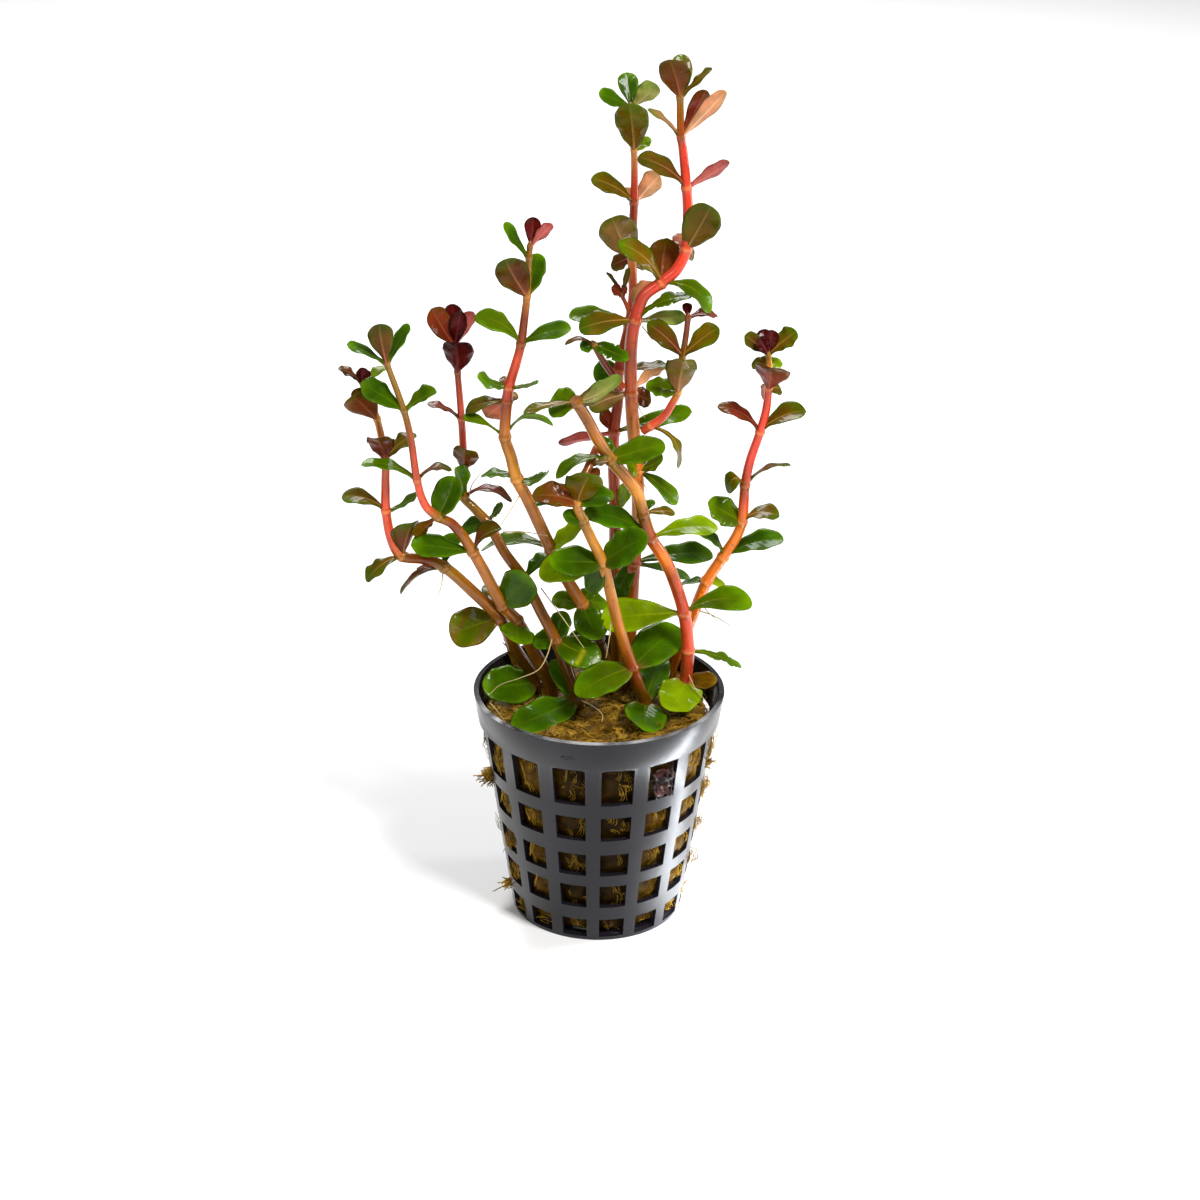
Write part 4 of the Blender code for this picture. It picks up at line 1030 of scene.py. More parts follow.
# A place on the collar's outer face and the direction straight out of it
def collarSpot(angle, height):
    foot = pot["height"] - pot["collarDrop"]
    footRadius = wallRadius(foot) + pot["collarStep"]
    radius = footRadius + (pot["rimRadius"] - footRadius) * (height - foot) / pot["collarDrop"]
    out = Vector((math.sin(angle), -math.cos(angle), 0))
    return out * radius + Vector((0, 0, height)), out


# The low oval that the moulding leaves on the collar
def buildGateMark(material):
    mark = pot["mark"]
    shape = bmesh.new()
    bmesh.ops.create_uvsphere(shape, u_segments=mark["sides"], v_segments=mark["rings"], radius=1)
    spot, out = collarSpot(mark["angle"], mark["height"])
    side = out.cross(Vector((0, 0, 1)))
    for vertex in shape.verts:
        wide, deep, tall = vertex.co
        inside = max(0, 1 - math.hypot(wide, tall) / mark["dishEnd"])
        crown = 1 - mark["dish"] * inside if deep > 0 else 1
        offset = side * (wide * mark["width"] / 2) + Vector((0, 0, tall * mark["tall"] / 2))
        vertex.co = spot + offset + out * (deep * mark["proud"] * crown)
    mesh = write(shape, bpy.data.meshes.new("gateMark"))
    mesh.shade_smooth()
    mesh.materials.append(material)
    return addObject("gateMark", mesh)


# Rock wool

wool = {
    "gap": 0.7 * mm,
    "bottom": 1.6 * mm,
    "steps": 180,
    "sideRows": 50,
    "bottomRings": 12,
    "topRings": 24,
    "rise": 0.9 * mm,
    "bumps": (210, 260, 390),  # radians in a metre: from side to side, from front to back, slanted
    "bumpStarts": (1.0, 2.0),
    "topShare": 0.975,  # above this share of its height the plug is uneven
    "edgeStart": 17.5 * mm,  # beyond this its right edge is drawn in
    "edgePull": 0.35,
    "lump": 0.9 * mm,
    "lumpSize": 2.2 * mm,
    "lumpMiddle": 0.75,
    "bulge": 0.9 * mm,  # how far it swells into the holes at the front, and at the sides
    "sideBulge": 2.3 * mm,
    "goldenFrom": (0.80, 0.94),  # on the left and on the right, as shares of the pot's radius
    "goldenEdge": 0.2,
    "rearFront": 0.9,  # how near the front the rear counts as
    "swellLuck": (0.75, 0.25),
    "swellBeat": (5.1, 2.3),  # for each column and each millimetre up
    "topSwirls": 0.56e6,  # for each square metre
    "frontStrands": 0.22e6,
    "sideStrands": 0.64e6,
    "topBand": 1.5 * mm,
    "leastSwell": 0.05,  # holes have fibres where the plug swells this far into them
    "fibreThickness": 0.13 * mm,
    "fibreSides": 3,
    "swirls": (1.0, 1.28, 1.6),  # the strands of one swirl, as shares of its radius
    "arcPoints": 6,
    "tilt": 0.35,
    "sizes": ((0.45, 0.45, 0.45), (1.25, 1.25, 1.0)),
    "kink": 1.2 * mm,
    "kinkNoise": {"Scale": 700.0, "Detail": 2.0},
    # Loops on the top, and bundles of upright strands in the holes
    "loops": {"Radius": 1.15 * mm, "Sweep": 4.4, "Fan": 0.9, "Upright": 0.0, "Turn": math.pi, "Lean": 1.0},
    "strands": {"Radius": 1.7 * mm, "Sweep": 1.5, "Fan": 0.15, "Upright": 1.0, "Turn": 0.5, "Lean": 0.3},
}


def woolHeight(x, y):
    (wide, deep, slanted), (first, second) = wool["bumps"], wool["bumpStarts"]
    bumps = math.sin(x * wide + first) * math.cos(y * deep) + math.sin((x + y) * slanted + second) / 2
    return clearing["woolTop"] + wool["rise"] * bumps


# How far into a hole this point of the plug's side is, and how near the front, from 0 to 1
def holeSwell(spot):
    angle = (math.atan2(spot.x, -spot.y) - pot["firstHole"]) % math.tau
    share = angle * pot["columns"] / math.tau
    column, within = int(share), share % 1 / pot["holeShare"]
    rows = [row for row in pot["holeRows"] if row[0] * mm < spot.z < row[1] * mm]
    if within > 1 or not rows:
        return 0, 0
    low, high = rows[0]
    rise = (spot.z / mm - low) / (high - low)
    (usual, swing), (columnBeat, rowBeat) = wool["swellLuck"], wool["swellBeat"]
    luck = usual + swing * math.sin(column * columnBeat + low * rowBeat)
    across = abs(math.sin(math.atan2(spot.x, -spot.y)))
    front = min(1, max(0, (wool["goldenFrom"][spot.x > 0] - across) / wool["goldenEdge"]))
    if spot.y >= 0:
        front = wool["rearFront"]
    return math.sin(math.pi * within) ** 0.5 * math.sin(math.pi * rise) ** 0.5 * luck, front


def plugRadius(height):
    return wallRadius(height) - pot["wall"] - wool["gap"]


# The plug: a turned form with an uneven top and a lumpy skin
def buildWool(material):
    bottom, top, rows = wool["bottom"], clearing["woolTop"], wool["sideRows"]
    heights = [bottom + (top - bottom) * i / rows for i in range(rows + 1)]
    profile = [(plugRadius(bottom) * i / wool["bottomRings"], bottom) for i in range(1, wool["bottomRings"])]
    profile += [(plugRadius(height), height) for height in heights]
    profile += [(plugRadius(top) * (1 - i / wool["topRings"]), top) for i in range(1, wool["topRings"])]
    made = turnedSheet("rockWoolPlug", profile, wool["steps"], 0)
    shell = bmesh.new()
    shell.from_mesh(made.data)
    for vertex in shell.verts:
        spot = vertex.co
        if bottom < spot.z < top:
            swell, front = holeSwell(spot)
            out = swell * (wool["bulge"] + (wool["sideBulge"] - wool["bulge"]) * (1 - front))
            spot += Vector((spot.x, spot.y, 0)).normalized() * out
        if spot.z > top * wool["topShare"]:
            reach = (spot.z / top - wool["topShare"]) / (1 - wool["topShare"])
            spot.z += (woolHeight(spot.x, spot.y) - top) * reach
            spot.x -= max(0, spot.x - wool["edgeStart"]) * wool["edgePull"] * reach
    openEdges = [edge for edge in shell.edges if edge.is_boundary]
    bmesh.ops.holes_fill(shell, edges=openEdges, sides=0)
    write(shell, made.data)
    texture = bpy.data.textures.new("woolLumps", "CLOUDS")
    texture.noise_scale = wool["lumpSize"]
    lumps = made.modifiers.new("lumps", "DISPLACE")
    lumps.texture = texture
    lumps.texture_coords = "LOCAL"
    lumps.strength = wool["lump"]
    lumps.mid_level = wool["lumpMiddle"]
    settle(made)
    made.data.materials.append(material)
    return made


# A few arcs about one middle, each wider than the last and turned on from it
def swirlOfArcs(tree, given):
    swirl = addNode(tree, "GeometryNodeJoinGeometry")
    halfBack = times(tree, given["Sweep"], -0.5)
    for number, share in enumerate(wool["swirls"]):
        fanned = times(tree, given["Fan"], float(number))
        arc = addNode(
            tree, "GeometryNodeCurveArc",
            {
                "Resolution": wool["arcPoints"],
                "Radius": times(tree, given["Radius"], share),
                "Start Angle": mathNode(tree, "ADD", halfBack, fanned),
                "Sweep Angle": given["Sweep"],
            },
        )
        tree.links.new(arc.outputs[0], swirl.inputs[0])
    return swirl.outputs[0]


# Each swirl's turn: along the skin or upright, then turned and tilted at random
def swirlTurn(tree, given, rotation):
    raised = addNode(
        tree, "FunctionNodeAlignRotationToVector",
        {"Rotation": rotation, "Factor": given["Upright"], "Vector": (0, 0, 1)}, axis="Y", pivot_axis="Z",
    )
    eitherWay = {2: -1.0, 3: 1.0, "Seed": given["Turn Seed"]}
    swing = addNode(tree, "FunctionNodeRandomValue", eitherWay).outputs[1]
    most = wool["tilt"]
    tilt = addNode(
        tree, "FunctionNodeRandomValue",
        {0: (-most, -most, 0.0), 1: (most, most, 0.0), "Seed": given["Seed"]}, data_type="FLOAT_VECTOR",
    )
    turn = addNode(tree, "ShaderNodeCombineXYZ", {"Z": times(tree, swing, given["Turn"])})
    leant = vectorNode(tree, "SCALE", tilt.outputs[0], given["Lean"])
    both = vectorNode(tree, "ADD", leant, turn.outputs[0])
    turned = {"Rotation": raised.outputs[0], "Rotate By": both}
    return addNode(tree, "FunctionNodeRotateRotation", turned, rotation_space="LOCAL").outputs[0]


# Curved fibres strewn over a skin in threes, each an arc that lies along it
def fibreTree():
    floats = ("Radius", "Sweep", "Fan", "Upright", "Turn", "Lean", "Thickness")
    inputs = {"Density": ("String", "fibres"), **{name: ("Float", None) for name in floats}}
    inputs.update({"Seed": ("Int", 4), "Turn Seed": ("Int", 7), "Size Seed": ("Int", 11)})
    tree, given = newTree("fibres", {**inputs, "Material": ("Material", None)})
    spread = addNode(
        tree, "GeometryNodeDistributePointsOnFaces",
        {"Mesh": given["Geometry"], "Density": namedValue(tree, given["Density"]), "Seed": given["Seed"]},
    )
    least, most = wool["sizes"]
    size = addNode(
        tree, "FunctionNodeRandomValue", {0: least, 1: most, "Seed": given["Size Seed"]},
        data_type="FLOAT_VECTOR",
    )
    placed = addNode(
        tree, "GeometryNodeInstanceOnPoints",
        {
            "Points": spread.outputs["Points"], "Instance": swirlOfArcs(tree, given),
            "Rotation": swirlTurn(tree, given, spread.outputs["Rotation"]), "Scale": size.outputs[0],
        },
    )
    real = addNode(tree, "GeometryNodeRealizeInstances", {0: placed.outputs[0]})
    kinks = addNode(tree, "ShaderNodeTexNoise", wool["kinkNoise"])
    centred = vectorNode(tree, "SUBTRACT", kinks.outputs["Color"], (0.5, 0.5, 0.5))
    kink = vectorNode(tree, "SCALE", centred, wool["kink"])
    bent = addNode(tree, "GeometryNodeSetPosition", {"Geometry": real.outputs[0], "Offset": kink})
    section = addNode(
        tree, "GeometryNodeCurvePrimitiveCircle",
        {"Resolution": wool["fibreSides"], "Radius": given["Thickness"]},
    )
    tubes = addNode(
        tree, "GeometryNodeCurveToMesh",
        {"Curve": bent.outputs[0], "Profile Curve": section.outputs[0], "Fill Caps": True},
    )
    return finishTree(tree, tubes.outputs[0], given)


# Fibres on the plug's top and where it fills the holes
def buildFibres(plug, material):
    densities = {"loops": [], "strands": []}
    for face in plug.data.polygons:
        swell, front = holeSwell(face.center)
        top = face.center.z > clearing["woolTop"] - wool["topBand"]
        strands = wool["sideStrands"] + (wool["frontStrands"] - wool["sideStrands"]) * front
        densities["loops"].append(wool["topSwirls"] * top)
        densities["strands"].append(strands * (swell > wool["leastSwell"]) * (not top))
    tree = fibreTree()
    pieces = []
    for kind, values in densities.items():
        made = addObject(kind, plug.data.copy())
        made.data.attributes.new("fibres", "FLOAT", "FACE").data.foreach_set("value", values)
        shared = {"Thickness": wool["fibreThickness"] / 2, "Material": material}
        pieces.append(applyTree(made, tree, {**wool[kind], **shared}))
    return joined("rockWoolFibres", pieces)


# Tufts of wool that stick out of the pot: a reading, then which way they point and how far
tufts = {
    "seed": 12,
    "strands": 34,
    "sides": 5,
    "sample": 0.4 * mm,
    "thickness": 0.34 * mm,
    "taper": 0.4,
    "rootDepth": 1.6,  # millimetres
    "lengths": (0.6, 1.1),
    "spread": 0.5 * mm,
    "bend": 0.22,
    "places": [
        ((497, 770, -3), (-1.0, -0.3, -0.15), 3.4),
        ((497, 775, -2), (-1.0, -0.2, -0.35), 3.0),
        ((517, 880, -2), (-1.0, -0.2, -0.2), 3.0),
        ((514, 655, 15), (-0.4, 0.2, 1.0), 3.0),
        ((700, 762, -3), (1.0, -0.3, 0.1), 2.0),
    ],
}


# Short bent strands in bundles
def buildTufts(material):
    luck = np.random.default_rng(tufts["seed"])
    tree = tubeTree(tufts["sides"])
    pieces = []
    for reading, direction, reach in tufts["places"]:
        root = place(*reading)
        outward = Vector(direction).normalized()
        for _ in range(tufts["strands"]):
            start = root + Vector(luck.normal(0, tufts["spread"], 3))
            bend = Vector(luck.normal(0, tufts["bend"], 3))
            length = reach * mm * luck.uniform(*tufts["lengths"])
            knots = [start - outward * tufts["rootDepth"] * mm, start]
            knots += [start + (outward + bend * 0.5) * length / 2, start + (outward + bend) * length]
            path = smoothPath(knots, tufts["sample"])
            pieces.append(thinningTube("strand", path, tufts, len(path), tree, material))
    return joined("rockWoolTufts", pieces)


# A dead, crumpled scrap of leaf behind one of the holes
scrap = {
    "reading": (664, 783, -19),
    "width": 5.6 * mm,
    "height": 6.2 * mm,
    "inside": 0.3 * mm,  # behind the wall's outer face as it is at the collar
    "crumple": 1.7 * mm,
    "folds": ((1.7, 3.1, 1.0), (4, 8, 0.5)),  # how close, where in the noise and how strong
    "middle": 0.25,  # the crumple that leaves it where it is
    "ragged": 0.16,
    "notches": ((9, 5), (-4, 7)),  # the beats of its edge, across and up
    "squares": 28,
    "thickness": 0.16 * mm,
    "surface": {"Roughness": 0.3, "Specular IOR Level": 0.3},
    "dark": (26, 10, 8),
    "light": (98, 62, 60),
    "patchEdge": (0.45, 0.68),
    "wrinkle": 0.12 * mm,
    "wrinkleStrength": 0.6,
    "noise": {"patch": (420, 3), "wrinkle": (900, 2)},
}


def scrapMaterial():
    grain = scrap["noise"]
    material, tree, surface = newMaterial("deadScrap", scrap["surface"])
    patches = ramp(tree, noiseOver(tree, *grain["patch"]), 0, 1, *scrap["patchEdge"])
    colour = mixedColour(tree, patches, paint(scrap["dark"]), paint(scrap["light"]))
    tree.links.new(colour, surface.inputs["Base Color"])
    addBump(tree, surface, noiseOver(tree, *grain["wrinkle"]), scrap["wrinkle"], scrap["wrinkleStrength"])
    return material


def buildScrap(material):
    middle = place(*scrap["reading"])
    angle = math.atan2(middle.x, -middle.y)
    out = Vector((math.sin(angle), -math.cos(angle), 0))
    side = Vector((math.cos(angle), math.sin(angle), 0))
    reach = wallRadius(pot["height"]) - scrap["inside"]
    shape = bmesh.new()
    bmesh.ops.create_grid(shape, x_segments=scrap["squares"], y_segments=scrap["squares"], size=1)
    for vertex in shape.verts:
        across, up, _ = vertex.co
        first, second = (across * wide + up * tall for wide, tall in scrap["notches"])
        notches = 1 + math.sin(first) * math.cos(second)
        ragged = 1 - scrap["ragged"] * max(abs(across), abs(up)) * notches
        crumple = sum(
            strength * noise.noise(Vector((across * close, up * close, where)))
            for close, where, strength in scrap["folds"]
        )
        vertex.co = out * (reach + scrap["crumple"] * (crumple - scrap["middle"]))
        vertex.co += side * (across * ragged * scrap["width"] / 2)
        vertex.co.z = middle.z + up * ragged * scrap["height"] / 2
    made = addObject("deadScrap", write(shape, bpy.data.meshes.new("deadScrap")))
    made.modifiers.new("sheet", "SOLIDIFY").thickness = scrap["thickness"]
    settle(made)
    made.data.materials.append(material)
    return made


# Gaps between leaves

# A six-sided tube, only to find gaps with
def coarseTube(points, radii):
    curve = bpy.data.curves.new("gauge", "CURVE")
    curve.dimensions = "3D"
    curve.bevel_depth = 1
    curve.bevel_resolution = 1
    curve.use_fill_caps = True
    spline = curve.splines.new("POLY")
    spline.points.add(len(points) - 1)
    for knot, point, radius in zip(spline.points, points, radii):
        knot.co = (*point, 1)
        knot.radius = radius
    drawn = addObject("gauge", curve)
    mesh = evaluatedMesh(drawn)
    tree = treeOf(mesh)
    bpy.data.objects.remove(drawn)
    bpy.data.curves.remove(curve)
    bpy.data.meshes.remove(mesh)
    return tree


def treeOf(mesh):
    points = [vertex.co.copy() for vertex in mesh.vertices]
    return BVHTree.FromPolygons(points, [tuple(face.vertices) for face in mesh.polygons])


# A leaf's directions: along it, across it, and out of its upper side
def leafFrame(base, tip, turn):
    along = tip - base
    middle = (base + tip) / 2
    facing = (eye - middle) - along * ((eye - middle).dot(along) / along.length_squared)
    facing.normalize()
    sideUp = along.normalized().cross(facing)
    upOrRight = sideUp.z if abs(sideUp.z) > clearing["edgeOn"] else sideUp.x
    if upOrRight < 0:
        sideUp.negate()
    angle = math.radians(turn)
    normal = facing * math.cos(angle) + sideUp * math.sin(angle)
    return along, along.normalized().cross(normal), normal


# Points and faces of a leaf, grown by extra on every side and begun at start
def coarseLeaf(base, tip, leaf, extra=0.0, start=0.0):
    along, across, normal = leafFrame(base, tip, leaf.turn)

    def centre(share):
        return base + along * share + normal * (leaf.arch * along.length * 4 * share * (1 - share))

    sections = leafForms[leaf.form]["sections"]
    if leaf.width * mm < clearing["smallLeaf"]:
        sections = sections[1:]
    thick = clearing["leafThickness"] / 2 + extra
    points = [centre(start)]
    for share, wide in sections:
        half = leaf.width * mm / 2 * wide + extra
        edge = normal * (leaf.cup * half)
        points.append(centre(share) - across * half + edge)
        points.append(centre(share) + normal * thick)
        points.append(centre(share) + across * half + edge)
        points.append(centre(share) - normal * thick)
    points.append(tip + along.normalized() * extra)
    last = len(points) - 1
    faces = [(0, 1 + (i + 1) % 4, 1 + i) for i in range(4)]
    for ring in range(1, last - 4, 4):
        faces += [(ring + i, ring + (i + 1) % 4, ring + 4 + (i + 1) % 4, ring + 4 + i) for i in range(4)]
    faces += [(last - 4 + i, last - 4 + (i + 1) % 4, last) for i in range(4)]
    return points, faces


def coarseTree(*leafAndGrowth):
    return BVHTree.FromPolygons(*coarseLeaf(*leafAndGrowth))


# Whether a leaf clears all that is placed. On its own shoot only its blade has to
def clears(base, tip, leaf, shootName, placed):
    whole = coarseTree(base, tip, leaf, clearing["leafGap"])
    blade = coarseTree(base, tip, leaf, clearing["leafGap"] / 2, clearing["bladeStart"])
    return not any(tree.overlap(blade if owner == shootName else whole) for owner, tree in placed)


# The leaf's tip, moved in depth until the leaf clears what is already there
def settledTip(base, leaf, shootName, placed):
    tips = [place(leaf.across, leaf.down, leaf.back + step) for step in clearing["depthSteps"]]
    tip = next((tip for tip in tips if clears(base, tip, leaf, shootName, placed)), tips[0])
    placed.append((shootName, coarseTree(base, tip, leaf)))
    return tip


# Stems

stemDetail = {
    "sample": 0.25 * mm,
    "sides": 18,
    "nodeSwell": 0.20,
    "nodeReach": 0.55 * mm,
    "nodeTone": (232, 168, 96),
    "nodeShare": 0.30,  # how far the ring takes that tone
    "nodeLight": 1.6,
    "nodeLine": 0.17 * mm,  # a thin dark line where two lengths of stem meet
    "lineShade": 0.28,
    "tipTaper": (0.35, 0.65, 0.85, 0.95),
}


# The stem's points, from its root in the wool where it has one
def stemPoints(shoot):
    points = [place(*reading) for reading in shoot["stem"]]
    if shoot.get("rooted", True):
        foot = points[0].copy()
        foot.z = clearing["woolTop"] - clearing["rootDepth"]
        points.insert(0, foot)
    points.append(points[-1] + (points[-1] - points[-2]).normalized() * clearing["stemEnd"])
    return points


# The value a share of the way along a list, between its neighbours
def spreadEvenly(values, share):
    where = share * (len(values) - 1)
    low = min(int(where), len(values) - 2)
    first, second = np.array(values[low], float), np.array(values[low + 1], float)
    return first + (second - first) * (where - low)


def stemRadii(points, girth):
    last = len(points) - 1
    return [float(spreadEvenly(girth, i / last)) * mm / 2 for i in range(last + 1)]


# A smooth curve through the points, as (place, point number with its fraction)
def smoothPath(points, sample):
    lengths = [(b - a).length for a, b in zip(points, points[1:])]
    slopes = []
    for i in range(len(points)):
        before, after = points[max(i - 1, 0)], points[min(i + 1, len(points) - 1)]
        run = (lengths[i - 1] if i else 0) + (lengths[i] if i < len(lengths) else 0)
        slopes.append((after - before) / run)
    path = []
    for i, length in enumerate(lengths):
        parts = max(2, math.ceil(length / sample))
        for part in range(parts):
            t = part / parts
            h00, h10 = 2 * t**3 - 3 * t**2 + 1, t**3 - 2 * t**2 + t
            h01, h11 = -2 * t**3 + 3 * t**2, t**3 - t**2
            spot = points[i] * h00 + points[i + 1] * h01
            spot = spot + (slopes[i] * h10 + slopes[i + 1] * h11) * length
            path.append((spot, i + t))
    path.append((points[-1], len(points) - 1))
    return path


# Gives a path of edges a round section whose radius is the path's own
def tubeTree(sides):
    tree, given = newTree("tube", {"Material": ("Material", None)})
    line = addNode(tree, "GeometryNodeMeshToCurve", {"Mesh": given["Geometry"]})
    length = addNode(tree, "GeometryNodeSplineParameter").outputs["Length"]
    curve = addNode(
        tree, "GeometryNodeStoreNamedAttribute",
        {"Geometry": line.outputs[0], "Name": "run", "Value": length}, data_type="FLOAT",
    )
    circle = addNode(tree, "GeometryNodeCurvePrimitiveCircle", {"Resolution": sides, "Radius": 1.0})
    spot = addNode(tree, "GeometryNodeInputPosition").outputs[0]
    section = addNode(
        tree, "GeometryNodeStoreNamedAttribute",
        {"Geometry": circle.outputs[0], "Name": "round", "Value": spot}, data_type="FLOAT_VECTOR",
    )
    skin = addNode(
        tree, "GeometryNodeCurveToMesh",
        {
            "Curve": curve.outputs[0], "Profile Curve": section.outputs[0],
            "Scale": namedValue(tree, "girth"), "Fill Caps": True,
        },
    )
    return finishTree(tree, skin.outputs[0], given)


def pathObject(name, path, radii, tones):
    mesh = bpy.data.meshes.new(name)
    mesh.from_pydata([spot for spot, _ in path], [(i, i + 1) for i in range(len(path) - 1)], [])
    width = mesh.attributes.new("girth", "FLOAT", "POINT")
    width.data.foreach_set("value", radii)
    tone = mesh.attributes.new("tone", "FLOAT_COLOR", "POINT")
    tone.data.foreach_set("color", [part for colour in tones for part in (*colour, 1)])
    return addObject(name, mesh)


# A tube that thins by its look's taper over so many steps of the path
def thinningTube(name, path, look, steps, tree, material):
    radii = [look["thickness"] / 2 * (1 - look["taper"] * i / steps) for i in range(len(path))]
    made = pathObject(name, path, radii, [(1, 1, 1)] * len(path))
    return applyTree(made, tree, {"Material": material})


# A stem with a swollen ring and a thin dark line at each of its nodes
def buildStem(name, shoot, points, nodes, tree, material):
    path = smoothPath(points, stemDetail["sample"])
    last = len(points) - 1
    radii, tones = [], []
    palette = [linear(stemTones[tone]) for tone in shoot["tones"].split()]
    palette = palette[:1] * shoot.get("rooted", True) + palette + palette[-1:]
    for spot, number in path:
        gap = min((spot - points[node]).length for node in nodes)
        ring = math.exp(-((gap / stemDetail["nodeReach"]) ** 2))
        line = math.exp(-(((gap - stemDetail["nodeReach"]) / stemDetail["nodeLine"]) ** 2))
        low = min(int(number), last - 1)
        girth = spreadEvenly(shoot["girth"], low / last)
        girth += (spreadEvenly(shoot["girth"], (low + 1) / last) - girth) * (number - low)
        radii.append(float(girth) * mm / 2 * (1 + stemDetail["nodeSwell"] * ring))
        colour = spreadEvenly(palette, number / last) * (1 - stemDetail["lineShade"] * line)
        light = min(1, colour.max() * stemDetail["nodeLight"])
        ringTone = np.array(linear(stemDetail["nodeTone"])) * light
        tones.append(tuple(colour + (ringTone - colour) * stemDetail["nodeShare"] * ring))
    if not shoot.get("cut", False):
        for i, share in enumerate(stemDetail["tipTaper"], 1):
            radii[-i] *= share
    return applyTree(pathObject(name + "Stem", path, radii, tones), tree, {"Material": material})


# Leaves

leafDetail = {
    "along": 34,
    "across": 16,
    "tipRows": 1.6,  # above 1, more of the rows lie near the tip
    "crowding": 1.2,  # above 1, more of the columns lie near the midrib
    "petiole": 0.42 * mm,  # half the width of a leaf's stalk
    "petioleLeast": 0.45,  # the share of it that a leaf of no width would have
    "petioleWidth": 9,  # the millimetres of a leaf's width that add a whole one
    "petioleReach": 1.6,  # it fades to nothing over one part in this many
    "thickness": 0.30 * mm,
    "thinning": (0.75, 0.5),  # its share at the tip, and what the base has more
    "edgePower": 4,  # the higher, the nearer its edge the blade thins
    "stalkThickness": 0.25 * mm,
    "stalkEnd": 4,  # the stalk is thicker over one part in this many
    "rib": 0.26 * mm,
    "ribFade": 0.7,
    "groove": 0.10 * mm,
    "ribWidth": 0.24 * mm,
    "cupPower": 1.7,
    "wave": 0.085,  # of the half width
    "waveBeats": (1.6, 3.2),
    "waveLuck": (0.6, 1.6),
    "twist": math.radians(14),
    "twistMiddle": 0.3,
    "bow": 0.035,
    "tipCurl": 0.05,
    "curlLuck": (-0.4, 1),
    "tipDrop": 0.3,
    # Tears: how many, then over which share of the leaf, how deep, and how long each side is
    "tears": 9,
    "tearStart": 0.25,
    "tearSpan": 0.7,
    "tearPlace": (0.2, 0.8),
    "tearDepth": (0.18, 0.5),
    "tearSteep": (0.006, 0.014),
    "tearSlow": (0.02, 0.06),
}

# The leaves with a torn or toothed edge, as numbers in their shoot's list
tornLeaves = {
    "middle_shoot": [8, 15], "tallest_shoot": [12], "left_side_shoot": [0], "cut_top_shoot": [2],
    "maroon_tip_shoot": [7],
}


# The half width at each place along the leaf, as a share of its widest
def leafOutline(form, spots):
    base, tip = leafForms[form]["base"], leafForms[form]["tip"]
    widest = base / (base + tip)
    top = widest**base * (1 - widest) ** tip
    return spots**base * (1 - spots) ** tip / top


# What is left of the width on each side at each place along a torn leaf
def tornEdges(spots, luck):
    edges = np.ones((2, len(spots)))
    for number in range(leafDetail["tears"]):
        along = leafDetail["tearSpan"] * (number + luck.uniform(*leafDetail["tearPlace"]))
        gap = spots - (leafDetail["tearStart"] + along / leafDetail["tears"])
        depth = luck.uniform(*leafDetail["tearDepth"])
        steep, slow = luck.uniform(*leafDetail["tearSteep"]), luck.uniform(*leafDetail["tearSlow"])
        edges[luck.integers(2)] *= 1 - depth * np.exp(-np.abs(gap) / np.where(gap < 0, slow, steep))
    return edges


# How far each point of the bent leaf lies out to its side and along its normal
def leafBend(leaf, out, run, lanes, half, length, luck):
    hump = 4 * run * (1 - run)
    curl = leafDetail["tipCurl"] * luck.uniform(*leafDetail["curlLuck"])
    sway = leaf.arch * hump - curl * run**3
    bow = luck.uniform(-leafDetail["bow"], leafDetail["bow"]) * hump
    waves = np.zeros_like(out)
    for sign in (-1, 1):
        beat, start = luck.uniform(*leafDetail["waveBeats"]), luck.uniform(0, math.tau)
        ripple = np.sin(run * math.tau * beat + start) * np.abs(lanes) ** 2 * half
        waves += np.where(np.sign(lanes) == sign, ripple, 0)
    cupped = leaf.cup * np.abs(lanes) ** leafDetail["cupPower"] * half
    lift = cupped + waves * leafDetail["wave"] * luck.uniform(*leafDetail["waveLuck"])
    angle = leafDetail["twist"] * luck.uniform(-1, 1) * (run - leafDetail["twistMiddle"])
    sideways = out * np.cos(angle) - lift * np.sin(angle) + bow * length
    outward = out * np.sin(angle) + lift * np.cos(angle) + sway * length
    return sideways, outward


# How far the upper skin and the lower one stand from the leaf's middle
def leafThickness(out, run, lanes):
    fade = np.clip(1 - np.abs(lanes) ** leafDetail["edgePower"], 0, 1)
    thin, more = leafDetail["thinning"]
    thick = leafDetail["thickness"] / 2 * fade * (thin + more * (1 - run))
    thick = thick + leafDetail["stalkThickness"] * np.clip(1 - run * leafDetail["stalkEnd"], 0, 1) * fade
    middle = np.exp(-((out / leafDetail["ribWidth"]) ** 2))
    upper = thick - leafDetail["groove"] * middle * (1 - run)
    return upper, thick + leafDetail["rib"] * middle * (1 - run) ** leafDetail["ribFade"]


# The rows of the upper skin, those of the lower one without its shared edges, and the tip
def skins(upper, lower, tip):
    wide = upper.shape[-1]
    return np.concatenate([upper.reshape(-1, wide), lower[:, 1:-1].reshape(-1, wide), tip[None, :]])


